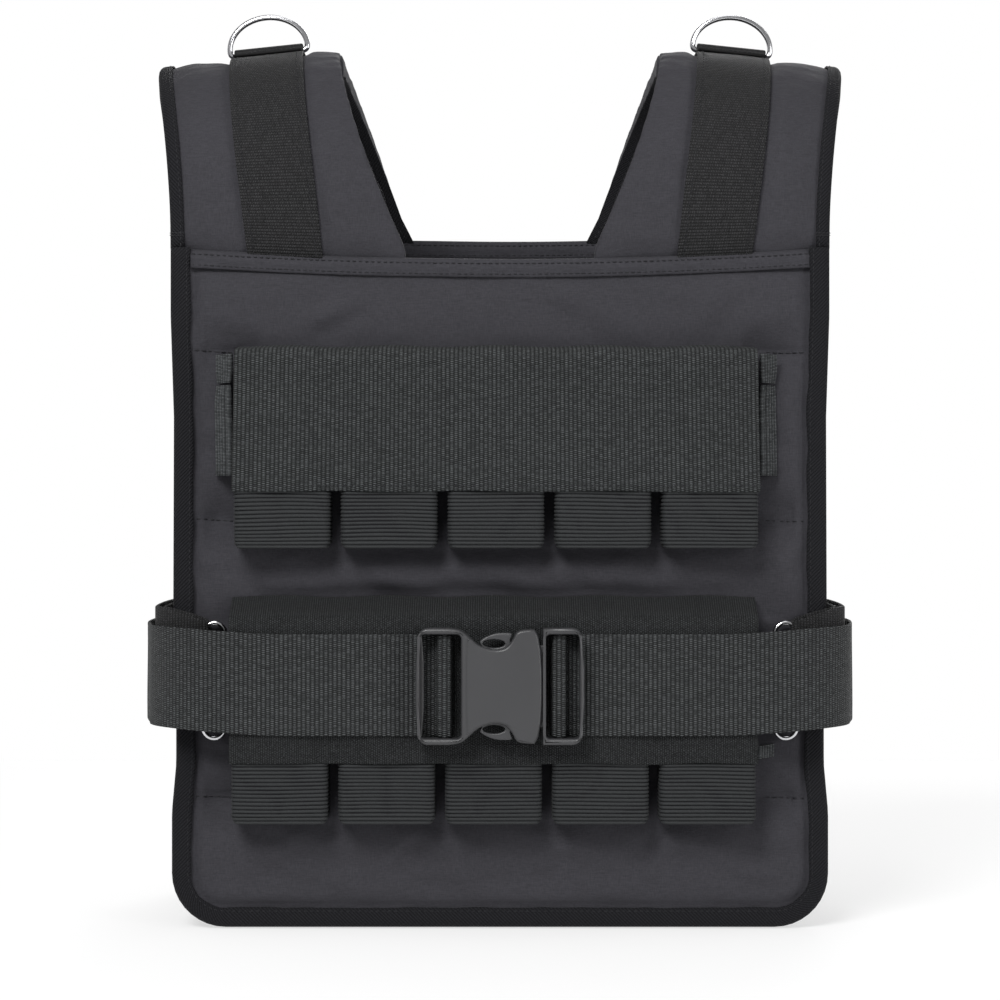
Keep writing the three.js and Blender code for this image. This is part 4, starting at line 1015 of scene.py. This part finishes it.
def dress_ring_loop(name, sign, seams):
    ridge, foot = 2.85, 17.0
    radius = ARCH_RADIUS + STRAP_LIFT + WEBBING

    def fall(y):
        turn = math.degrees(math.asin(y / radius))
        return (radius - LOOP_PRESS) - (radius - float(press_at(90 + turn))) * math.cos(math.radians(turn))

    leg = [(y, GAP + WEBBING / 2 - LOOP_PRESS - fall(y)) for y in (5.4, 9.0, 13.4, foot)]
    line = [(-y, z) for y, z in reversed(leg)] + arc(0, 0, ridge, 158, 22, 9).tolist() + leg
    line = resample(line, 0.9)
    points = np.column_stack([np.zeros(len(line)), line])
    tangent = unit(np.gradient(line, axis=0))
    normal = np.column_stack([np.zeros(len(line)), -tangent[:, 1], tangent[:, 0]])
    normal *= np.sign(normal[len(line) // 2, 2])
    across = np.tile([1.0, 0, 0], (len(line), 1))
    section = band_section(LOOP_WIDTH / 2, WEBBING, 12)
    v, h = section[:, 0], section[:, 1]
    local = points[:, None] + across[:, None] * v[None, :, None] + normal[:, None] * h[None, :, None]
    mesh = ring_mesh(f"ring_loop_{name}_fold", crest_place(sign, local), run_of(line), v)
    dressed(f"ring_loop_{name}", f"ring_loop_{name}_fold", mesh, SHOULDER_WEB)
    for side in (-1, 1):
        near = [(x, side * 6.4, GAP + WEBBING - 1.65 - fall(6.4)) for x in np.linspace(-15, 15, 12)]
        turn = np.radians(np.linspace(180, 0, 16))
        u_line = [(15.5 * math.cos(t), side * (8.4 + 6.6 * math.sin(t)),
                   GAP + WEBBING - 1.65 - fall(8.4 + 6.6 * math.sin(t))) for t in turn]
        up = crest_place(sign, [(0, 0, 1)])[0] - crest_place(sign, [(0, 0, 0)])[0]
        seams.sew(crest_place(sign, near), up, 2.6)
        seams.sew(crest_place(sign, u_line), up, 2.6)


def wire_ring(name, line, wire, place):
    line = np.asarray(line, float)
    tangent = unit(np.roll(line, -1, 0) - np.roll(line, 1, 0))
    across = np.column_stack([-tangent[:, 1], tangent[:, 0]])
    turn = np.linspace(0, 2 * math.pi, 16, endpoint=False)
    reach = across[:, None] * (wire / 2 * np.cos(turn))[None, :, None]
    flat = line[:, None] + reach
    local = np.stack([flat[..., 0], np.broadcast_to(wire / 2 * np.sin(turn), flat.shape[:2]), flat[..., 1]], -1)
    run = run_of(line)
    return ring_mesh(name, place(local), run, turn * wire / 2, loop=True)


def dress_d_ring(name, sign):
    reach, rise, corner = D_RING_REACH, D_RING_RISE, D_RING_CORNER
    turns = np.pi * np.linspace(0, 1, 45)[1:-1]
    bow = np.column_stack([reach * np.cos(turns), corner + (rise - corner) * np.sin(turns)])
    bar = np.vstack([arc(-reach + corner, corner, corner, 180, 270, 7), [[-9, 0], [0, 0], [9, 0]],
                     arc(reach - corner, corner, corner, 270, 360, 7)])
    mesh = wire_ring(f"d_ring_{name}_steel", np.vstack([bow, bar]), D_RING_WIRE, lambda p: crest_place(sign, p))
    dressed(f"d_ring_{name}", f"d_ring_{name}_steel", mesh, STEEL, f"{name}_ring")


def round_side(front, back, side, bulge, front_turn, back_turn):
    start, end = front + front_turn, back - back_turn
    share = np.linspace(0, 1, 9)[1:-1]
    span = np.column_stack([side + bulge * 4 * share * (1 - share), start + (end - start) * share])
    return np.vstack([arc(side - front_turn, start, front_turn, -90, 0, 9), span,
                      arc(side - back_turn, end, back_turn, 0, 90, 9)])


def upright_band(name, line, sign, middle, width, pitch, rise=None, columns=12, wave=None):
    """A strap on edge along a line in plan; rise gives its climb at each place of the line."""
    flat = resample(line, pitch)
    tangent = unit(np.gradient(flat, axis=0))
    climb = rise(flat) if rise else np.zeros(len(flat))
    origins = np.column_stack([sign * flat[:, 0], flat[:, 1], middle + climb])
    across = np.tile([0, 0, 1.0], (len(flat), 1))
    normals = np.column_stack([sign * tangent[:, 1], -tangent[:, 0], np.zeros(len(flat))])
    return band(name, origins, across, normals, width / 2, WEBBING, columns, wave), origins, normals


def dress_belt(name, sign, bar, seams):
    top = BUCKLE_BACK - CROSS_BAR_LIFT - CROSS_BAR_DEPTH - GAP - WEBBING / 2
    reach = CROSS_BAR_WIDTH / 2 + GAP + WEBBING / 2
    foot = BUCKLE_BACK - BELT_RISE
    fold = [(bar - reach - BELT_TAIL, BUCKLE_BACK + WEBBING / 2), (bar - reach, foot),
            (bar - reach, top + BELT_CUT), (bar - reach + BELT_CUT, top), (bar + reach - BELT_CUT, top),
            (bar + reach, top + BELT_CUT), (bar + reach, foot), (bar + reach + BELT_LEAD, BELT_FACE),
            (44.3, BELT_FACE), (70, BELT_FACE), (100, BELT_FACE)]
    back = BACK_FACE + STRAP_SPACING / 2 + WEBBING + GAP
    line = np.vstack([fold, round_side(BELT_FACE, back, BELT_SIDE, BELT_BULGE, BELT_TURN, 16.8),
                      [(STRAP_END - 3, back), (STRAP_END - 20, BACK_FACE), (GAP / 2, BACK_FACE)]])
    seed = 71 if sign < 0 else 72
    wave = lambda u, v: 0.25 * ripple(u, v, 60, seed) * smooth((u - 60) / 40)
    mesh, origins, normals = upright_band(f"belt_{name}_web", line, sign, BELT_MIDDLE, BELT_WIDTH, 1.6,
                                          lambda flat: 3.5 * smooth((flat[:, 0] - 105) / 70), 14, wave)
    dressed(f"belt_{name}", f"belt_{name}_web", mesh, BELT_WEB)
    rear = (origins[:, 1] > 80) & (np.abs(origins[:, 0]) < 96)
    for edge in (-1, 1):
        line = origins[rear] + (0, 0, edge * (BELT_WIDTH / 2 - 3)) + normals[rear] * (WEBBING / 2 + 0.1)
        seams.sew(line, normals[rear], 3.2)


def dress_side_strap(name, sign):
    fold = arc(RING_CENTRE + 5.5, RING_LAYER, STRAP_SPACING / 2, 90, 270, 9)
    inner = round_side(RING_LAYER + 2.3, BACK_FACE, 168, STRAP_BULGE / 2, INNER_STRAP_TURN, INNER_STRAP_TURN)
    outer = round_side(RING_LAYER - 2.3, BACK_FACE + 2.3, STRAP_SIDE, STRAP_BULGE, STRAP_TURN, STRAP_TURN)
    line = np.vstack([[(STRAP_END, BACK_FACE)], inner[::-1], fold, outer, [(STRAP_END, BACK_FACE + 2.3)]])
    climb = lambda flat: 2.5 + 11.5 * smooth((flat[:, 0] + flat[:, 1] + 24 - 59) / 52)
    mesh, _, _ = upright_band(f"side_strap_{name}_web", line, sign, RING_MIDDLE, SIDE_STRAP_WIDTH, 1.8, climb)
    dressed(f"side_strap_{name}", f"side_strap_{name}_web", mesh, SHOULDER_WEB)
    tab = np.vstack([[(RING_CENTRE - 8.1, RING_LAYER - 2.3)],
                     arc(RING_CENTRE - 5.5, RING_LAYER, 2.3, -90, 90, 9),
                     [(RING_CENTRE - 8.1, RING_LAYER + 2.3)]])
    mesh, _, _ = upright_band(f"ring_tab_{name}_web", tab, sign, RING_MIDDLE, TAB_WIDTH, 0.7)
    dressed(f"ring_tab_{name}", f"ring_tab_{name}_web", mesh, SHOULDER_WEB)
    reach, rise = SIDE_RING_REACH, SIDE_RING_HEIGHT / 2 - SIDE_RING_REACH
    loop = np.vstack([arc(0, rise, reach, 0, 180, 15), arc(0, -rise, reach, 180, 360, 15)])
    place = lambda p: p + np.array([sign * RING_CENTRE, RING_LAYER, RING_MIDDLE])
    steel = f"side_ring_{name}_steel"
    dressed(f"side_ring_{name}", steel, wire_ring(steel, loop, SIDE_RING_WIRE, place), STEEL)


# ---------------------------------------------------------------- pockets, flaps and elastics
def sleeve_outline(inset, corner=4.0, count=6):
    """A sleeve's outline in plan about its middle, from the panel to the face."""
    x, y = SLEEVE_WIDTH / 2 - inset, SLEEVE_DEPTH / 2 - inset
    r = corner - inset
    corners = [arc(-x + r, -y + r, r, 180, 270, count), arc(x - r, -y + r, r, 270, 360, count),
               arc(x - 1, y - 1, 1, 0, 90, count), arc(-x + 1, y - 1, 1, 90, 180, count)]
    outline = []
    for near, far, steps in zip(corners, corners[1:] + corners[:1], (10, 4, 10, 4)):
        outline += [near[:-1],
                    near[-1] + (far[0] - near[-1]) * np.linspace(0, 1, steps, endpoint=False)[:, None]]
    return np.vstack(outline)


def dress_pocket(row_name, row, index, rib_mesh):
    name = f"{row_name}_pocket_{index + 1}"
    x = row["shift"] + (index - 2) * SLEEVE_PITCH
    y = PANEL_FACE - GAP - SLEEVE_DEPTH / 2
    outer, inner = sleeve_outline(0.75), sleeve_outline(1.4)
    heights = [(inner, 1.5), (inner, SLEEVE_HEIGHT - 0.4), (outer, SLEEVE_HEIGHT), (outer, 4),
               (outer * 0.985, 1.8), (outer * 0.95, 0.6), (outer * 0.9, 0.1)]
    shell = np.array([np.column_stack([o[:, 0] + x, o[:, 1] + y, np.full(len(o), row["base"] + h)])
                      for o, h in heights])
    around = run_of(np.vstack([outer, outer[:1]]))[:-1]
    # The shell inside the ribs is near black as painted shade: it darkens the gaps between the ribs and the
    # pockets' undersides.
    base = ring_mesh(name + "_backing", shell, run_of(shell[:, 0]), around)
    piece(name + "_backing", base, RIB_SHADE_SHELL)
    mesh = rib_mesh.copy()
    mesh.name = name + "_ribs"
    co = coordinates(mesh) / MM
    seed = 80 + index + (10 if row_name == "lower" else 0)
    lift = co[:, 2]
    turn_in = np.clip((4 - lift) / 4, 0, 1)
    co[:, 0] *= 1 - 0.085 * turn_in ** 2
    co[:, 1] *= 1 - 0.10 * turn_in ** 2
    co[:, 2] += 0.55 * ripple(co[:, 0] + 200 * index, lift, 60, seed, 0.8) * smooth(lift / 10)
    face = co[:, 1] < 0
    co[:, 1] += np.where(face, 0.45 * (1 - np.abs(ripple(co[:, 0], lift, 44, seed + 30))) * smooth(lift / 6), 0)
    put_coordinates(mesh, to_frame(co + (x, y, row["base"])))
    dressed(name, name + "_ribs", mesh, ELASTIC)


def rib_loops():
    outline = sleeve_outline(0.85)
    points = np.column_stack([outline, np.full(len(outline), 0.9)]) * MM
    loop = bpy.data.meshes.new("sleeve_outline")
    n = len(points)
    loop.from_pydata(points.tolist(), [(k, (k + 1) % n) for k in range(n)], [])
    return grown("sleeve_ribs", loop, RIBS, Ribs=49, Pitch=1.9 * MM, Cord=0.84 * MM, Finish=ELASTIC)


def dress_flap(row_name, row, mat, seams):
    """The flap: a sheet from its seam on the panel over the sleeves, with its free edge below."""
    face = SLEEVE_FACE - GAP - FLAP_THICKNESS / 2
    start = (PANEL_FACE - GAP - FLAP_THICKNESS / 2, row["top"] - FLAP_THICKNESS / 2)
    fold = arc(face + FLAP_FOLD, start[1] - row["slope"] - FLAP_FOLD, FLAP_FOLD, 90, 180, 6)
    line = resample(np.vstack([[start], fold, [(face, row["foot"])]]), 2.2)
    x = np.linspace(-FLAP_REACH, FLAP_REACH, 132)
    tangent = unit(np.gradient(line, axis=0))
    normal = np.column_stack([-tangent[:, 1], tangent[:, 0]])
    normal *= -np.sign(normal[-1, 0])
    run = run_of(line)
    section = band_section(run[-1] / 2, FLAP_THICKNESS, 44)
    at = np.clip(section[:, 0] + run[-1] / 2, 0, run[-1])
    y, z = at_run(at, run, line).T
    ny, nz = at_run(at, run, normal).T
    seed = 91 if row_name == "upper" else 92
    share = at / run[-1]
    between = (1 - np.cos(x / SLEEVE_PITCH * 2 * math.pi)) / 2
    hollow = between[:, None] * smooth((share[None, :] - 0.25) / 0.3) * 1.4
    sag = 0.5 * (1 + ripple(x[:, None], at[None, :], 70, seed)) / 2 * smooth((share[None, :] - 0.3) / 0.3)
    inward = hollow + sag
    points = np.stack([
        x[:, None] * (1 - (0.014 if row_name == "upper" else 0.0) * (1 - share[None, :])) + row["shift"],
        y[None, :] + section[None, :, 1] * ny[None, :]
        + np.where(ny[None, :] < 0, inward, 0) * np.abs(ny[None, :]),
        z[None, :] + section[None, :, 1] * nz[None, :]
        - between[:, None] * smooth((z[None, :] - row["top"] + 8) / 8)
        - 0.5 * ripple(x, 0 * x, 55, seed + 5)[:, None] * smooth((share[None, :] - 0.7) / 0.3)], -1)
    mesh = ring_mesh(f"{row_name}_flap_cloth", points, x - x[0], at)
    obj = dressed(f"{row_name}_flap", f"{row_name}_flap_cloth", mesh, mat)
    low = face - FLAP_THICKNESS / 2 - 0.05
    offset = between * 1.4 + 0.3
    for up in ((3.0,) if row_name == "upper" else (4.0, 9.5)):
        seams.sew(np.column_stack([x + row["shift"], low + offset * 0.9, np.full(len(x), row["foot"] + up)]),
                  (0, -1, 0), 3.2)


def dress_elastic(name, row, sign, low, high, joint, splits, seed):
    """A strip of ribbed elastic that leans from the panel towards the flap's edge, drawn
    together by stitches at the height of its joint."""
    inner = sign * (2 * SLEEVE_PITCH + SLEEVE_WIDTH / 2 + 1.2) + row["shift"]
    outer = inner + sign * 8.5
    ends = np.array([(outer, PANEL_FACE - GAP - 0.75), (inner, SLEEVE_FACE + SLEEVE_DEPTH / 4)])
    z = np.linspace(low, high, 12)
    columns = 120
    section = band_section(np.linalg.norm(ends[1] - ends[0]) / 2, 1.5, columns)
    middle, direction = ends.mean(axis=0), unit(ends[1] - ends[0])
    normal = np.array([-direction[1], direction[0]])
    v = section[:, 0]
    rib = 0.75 * np.abs(np.sin(v * math.pi / 3.1)) ** 0.7 - 0.75
    gap = sum(np.exp(-((v - at) / 0.8) ** 2) for at in splits)
    h = section[:, 1] * (1.6 + 1.9 * rib) - np.sign(section[:, 1]) * 1.2 * gap * (np.abs(section[:, 1]) > 0.7)
    wave = 0.3 * ripple(z, 0 * z, 24, seed)
    flat = middle + direction * v[:, None] + normal * h[:, None]
    pinch = 1 - 0.16 * np.exp(-((z - joint) / 4) ** 2)
    points = np.array([np.column_stack([middle + (flat - middle) * p + normal * w, np.full(len(flat), zz)])
                       for p, w, zz in zip(pinch, wave, z)])
    mesh = ring_mesh(name + "_ribbing", points, z - z[0], v)
    dressed(name, name + "_ribbing", mesh, SIDE_ELASTIC)


# ---------------------------------------------------------------- buckle
WAIST = ((-0.98, 1), (-0.72, 0.85), (-0.52, 0.71), (-0.26, 0.645), (-0.08, 0.625), (0.08, 0.65),
         (0.2, 0.7), (0.31, 0.82), (0.38, 0.93), (0.52, 0.975), (1, 0.98))
PRONG = ((1.02, 0.36), (1.02, 0.69), (0.48, 0.71), (0.26, 0.745), (0.24, 0.8), (0.3, 0.89), (0.26, 0.915),
         (0.1, 0.92), (-0.12, 0.91), (-0.34, 0.85), (-0.5, 0.77), (-0.45, 0.69), (-0.14, 0.6), (0.25, 0.5),
         (0.6, 0.36))
MOUTH = 20.6


def rounded(points, cuts=2):
    """A closed outline with its corners cut, so that it bends smoothly."""
    points = np.asarray(points, float)
    for _ in range(cuts):
        nxt = np.roll(points, -1, 0)
        points = np.stack([0.75 * points + 0.25 * nxt, 0.25 * points + 0.75 * nxt], 1).reshape(-1, 2)
    return points


def inset(points, distance):
    """A closed outline moved inwards."""
    along = unit(np.roll(points, -1, 0) - np.roll(points, 1, 0))
    area = np.cross(points, np.roll(points, -1, 0)).sum()
    return points + np.column_stack([-along[:, 1], along[:, 0]]) * distance * np.sign(area)


def moulding(name, outlines, front, back, bevel):
    """A moulded plate between two depths, with rounded edges: the first outline is its edge
    and the others are its holes."""
    curve = bpy.data.curves.new(name, "CURVE")
    curve.dimensions, curve.fill_mode = "2D", "BOTH"
    depth = back - front
    curve.extrude = (depth / 2 - bevel) * MM
    curve.bevel_depth, curve.bevel_resolution, curve.offset = bevel * MM, 4, -bevel * MM
    for outline in outlines:
        spline = curve.splines.new("POLY")
        spline.points.add(len(outline) - 1)
        spline.points.foreach_set("co", np.column_stack([np.asarray(outline) * MM, np.zeros(len(outline)),
                                                         np.ones(len(outline))]).ravel())
        spline.use_cyclic_u = True
    obj = linked(name, curve)
    mesh = mesh_of(obj)
    bpy.data.objects.remove(obj)
    co = coordinates(mesh) / MM
    turned = np.column_stack([co[:, 0], (front + back) / 2 - co[:, 2], co[:, 1] + BELT_MIDDLE])
    put_coordinates(mesh, to_frame(turned))
    weld(mesh, 1e-6, faces_out=True)
    return mesh


def joined(node, name, meshes):
    """Mouldings as one piece of plastic that takes the place of a solid."""
    work = bmesh.new()
    for mesh in meshes:
        work.from_mesh(mesh)
    whole = bpy.data.meshes.new(name)
    work.to_mesh(whole)
    work.free()
    obj = dressed(node, name, whole, PLASTIC)
    obj.modifiers.new("crisp", "WEIGHTED_NORMAL").keep_sharp = True


def slot_outline(start, end, reach, corner=2.2):
    return np.vstack([arc(start + corner, -reach + corner, corner, 180, 270, 6),
                      arc(end - corner, -reach + corner, corner, 270, 360, 6),
                      arc(end - corner, reach - corner, corner, 0, 90, 6),
                      arc(start + corner, reach - corner, corner, 90, 180, 6)])


def mirrored(points):
    return [(x, -z) for x, z in reversed(points)]


def dress_buckle():
    front, back = BUCKLE_BACK - BUCKLE_DEPTH, BUCKLE_BACK
    top = [(a * MOUTH, u * BUCKLE_HALF) for a, u in WAIST]
    outer, bend = FRAME_OUTER, FRAME_CORNER
    corner = arc(-(outer - 6), BUCKLE_HALF - bend, bend, 172, 90, 7).tolist()
    upper = [(-outer, 0), (-outer - 0.1, 8)] + corner + top
    outline = rounded(upper + mirrored(upper[1:]), 2)
    reach, end = BUCKLE_HALF - FRAME_RIM, outer - FRAME_END
    socket = moulding("socket_shell", [outline, slot_outline(-end, -19, reach)], front, back, 1.5)
    bar = moulding("socket_bar", [slot_outline(-28.9, -25.5, BUCKLE_HALF - 2, 0.8)], back - 6, back - 1.6, 0.7)
    rim = moulding("socket_rim", [rounded([(a - end, z) for a, z in
                   ((-1.9, -reach), (-1.9, reach), (1.6, reach - 1), (1.6, 1 - reach))], 1)],
                   back - 5, back - 1, 0.6)
    waist = rounded([(-17.2, -BUCKLE_HALF * 0.86)] + [(x, -z) for x, z in top[1:]]
                    + top[:0:-1] + [(-17.2, BUCKLE_HALF * 0.86)], 2)
    face = moulding("socket_face", [inset(waist, 1.5)], front - 0.45, front + 1.5, 0.4)
    joined("buckle_socket", "buckle_socket_moulding", [socket, bar, rim, face])
    corner = arc(outer - 6, BUCKLE_HALF - bend, bend, 8, 90, 7).tolist()
    upper = [(outer, 0), (outer + 0.1, 8)] + corner + [(MOUTH + GAP, BUCKLE_HALF)]
    outline = np.array(upper + mirrored(upper[1:]))
    plug = moulding("plug_frame", [outline, slot_outline(22.4, end, reach)], front, back, 1.4)
    bar = moulding("plug_bar", [slot_outline(27.2, 30.6, BUCKLE_HALF - 2, 0.8)], back - 6, back - 1.6, 0.7)
    middle = (front + back) / 2
    points = [(a * MOUTH, u * BUCKLE_HALF) for a, u in PRONG]
    oval = arc(0, 0, 1, 0, 330, 12) * (5.6, 2.1) + (-3.0, 20.9)
    upper_prong = moulding("prong", [rounded(points, 2), oval], middle - 3.4, middle + 2.7, 0.7)
    lower_prong = upper_prong.copy()
    put_coordinates(lower_prong, coordinates(upper_prong) * (1, 1, -1) + (0, 0, 2 * BELT_MIDDLE * MM))
    lower_prong.flip_normals()
    blade = moulding("blade", [slot_outline(12.4, 22.6, 20, 1)], middle - 2.7, middle + 2.7, 0.5)
    joined("buckle_plug", "buckle_plug_moulding", [plug, bar, blade, upper_prong, lower_prong])


# ---------------------------------------------------------------- making the vest
binding_seams, hem_seams, web_seams, flap_seams = Seams(), Seams(), Seams(), Seams()
quilt_seams = Seams()

dress_panel("front_panel", -1, FRONT_HEIGHT, quilt_seams)
dress_panel("back_panel", 1, BACK_HEIGHT, quilt_seams)
dress_edge_binding("front", -1, FRONT_HEIGHT, binding_seams)
dress_edge_binding("back", 1, BACK_HEIGHT, binding_seams)
dress_hem("chest_hem_fold", "chest_hem", -1, FRONT_HEIGHT, hem_seams)
dress_hem("back_hem_fold", "back_hem", 1, BACK_HEIGHT, hem_seams)

for name, sign in SIDES:
    dress_shoulder_pad(name, sign)
    dress_shoulder_tapes(name, sign, binding_seams)
    dress_shoulder_webbing(name, sign, web_seams)
    dress_ring_loop(name, sign, web_seams)
    dress_d_ring(name, sign)
    dress_belt(name, sign, BELT_BARS[name], web_seams)
    dress_side_strap(name, sign)

ribs = rib_loops()
for row_name, row in ROWS.items():
    for index in range(5):
        dress_pocket(row_name, row, index, ribs)
dress_flap("upper", ROWS["upper"], FLAP_WEB, flap_seams)
dress_flap("lower", ROWS["lower"], FLAP_CLOTH, flap_seams)

for name, sign in SIDES:
    dress_elastic(f"upper_elastic_{name}_high", ROWS["upper"], sign, 272, 286.5, 272, (), 101)
    dress_elastic(f"upper_elastic_{name}_low", ROWS["upper"], sign, 226, 271, 271, (4.6,), 102)
dress_elastic("lower_elastic_right", ROWS["lower"], 1, 86, 92.5, 60, (), 103)
dress_buckle()

binding_seams.piece("binding_stitches")
hem_seams.piece("hem_stitches")
quilt_seams.piece("quilting_stitches", 3.0, 0.8, 0.5)
web_seams.piece("webbing_stitches")
flap_seams.piece("flap_stitches")

for node in ("upper", "lower"):
    for index in range(5):
        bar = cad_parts[f"{node}_weight_{index + 1}"]
        bar.data.materials.clear()
        bar.data.materials.append(IRON)


# ---------------------------------------------------------------- floor, light and camera
def studio():
    floor = bpy.data.meshes.new("studio_floor")
    corners = ((-1.3, -1.5), (1.3, -1.5), (1.3, 0.9), (-1.3, 0.9))
    floor.from_pydata([(x, y, -0.0005) for x, y in corners], [], [(0, 1, 2, 3)])
    ground = linked("studio_floor", floor)
    paper = bpy.data.materials.new("pale_floor")
    paper.use_nodes = True
    shader = paper.node_tree.nodes["Principled BSDF"]
    shader.inputs["Base Color"].default_value = (0.34, 0.34, 0.34, 1)
    shader.inputs["Roughness"].default_value = 0.9
    shader.inputs["Emission Color"].default_value = (1, 1, 1, 1)
    shader.inputs["Emission Strength"].default_value = 0.61
    floor.materials.append(paper)
    world = bpy.data.worlds.new("studio")
    world.use_nodes = True
    s = Shader(world.node_tree)
    direction = s.add("ShaderNodeSeparateXYZ", Vector=s.add("ShaderNodeTexCoord").outputs["Generated"])
    level = s.math("ABSOLUTE", direction.outputs["Z"])
    band = s.math("SUBTRACT", 1.0, s.math("MULTIPLY_ADD", level, 6.0, -1.5, clamp=True))
    behind = s.math("MULTIPLY_ADD", direction.outputs["Y"], 4.0, -1.0, clamp=True)
    s.feed(world.node_tree.nodes["Background"], "Color", (1, 1, 1, 1))
    s.feed(world.node_tree.nodes["Background"], "Strength",
           s.math("MULTIPLY_ADD", s.math("MULTIPLY", band, behind), 0.68, 0.32))
    bpy.context.scene.world = world
    lamps = (("key", (-0.6, -1.7, 1.45), 0.9, 43), ("fill", (1.5, -1.5, 0.4), 1.0, 15),
             ("top", (0.0, -0.3, 2.2), 1.2, 6), ("rear", (0.3, 1.8, 1.4), 1.2, 18))
    for name, place, size, power in lamps:
        light = bpy.data.lights.new(name, "AREA")
        light.shape, light.size, light.energy = "DISK", size, power
        lamp = linked(name, light)
        lamp.location = place
        toward = Vector((0, 0.016, 0.22)) - Vector(place)
        lamp.rotation_euler = toward.to_track_quat("-Z", "Y").to_euler()
    camera = bpy.data.cameras.new("camera")
    camera.lens, camera.sensor_width = 108, 36
    eye = linked("camera", camera)
    eye.location = (0, -1.5679, 0.214)
    eye.rotation_euler = (math.pi / 2, 0, 0)
    bpy.context.scene.camera = eye
    bpy.context.scene.view_settings.view_transform = "Standard"


studio()
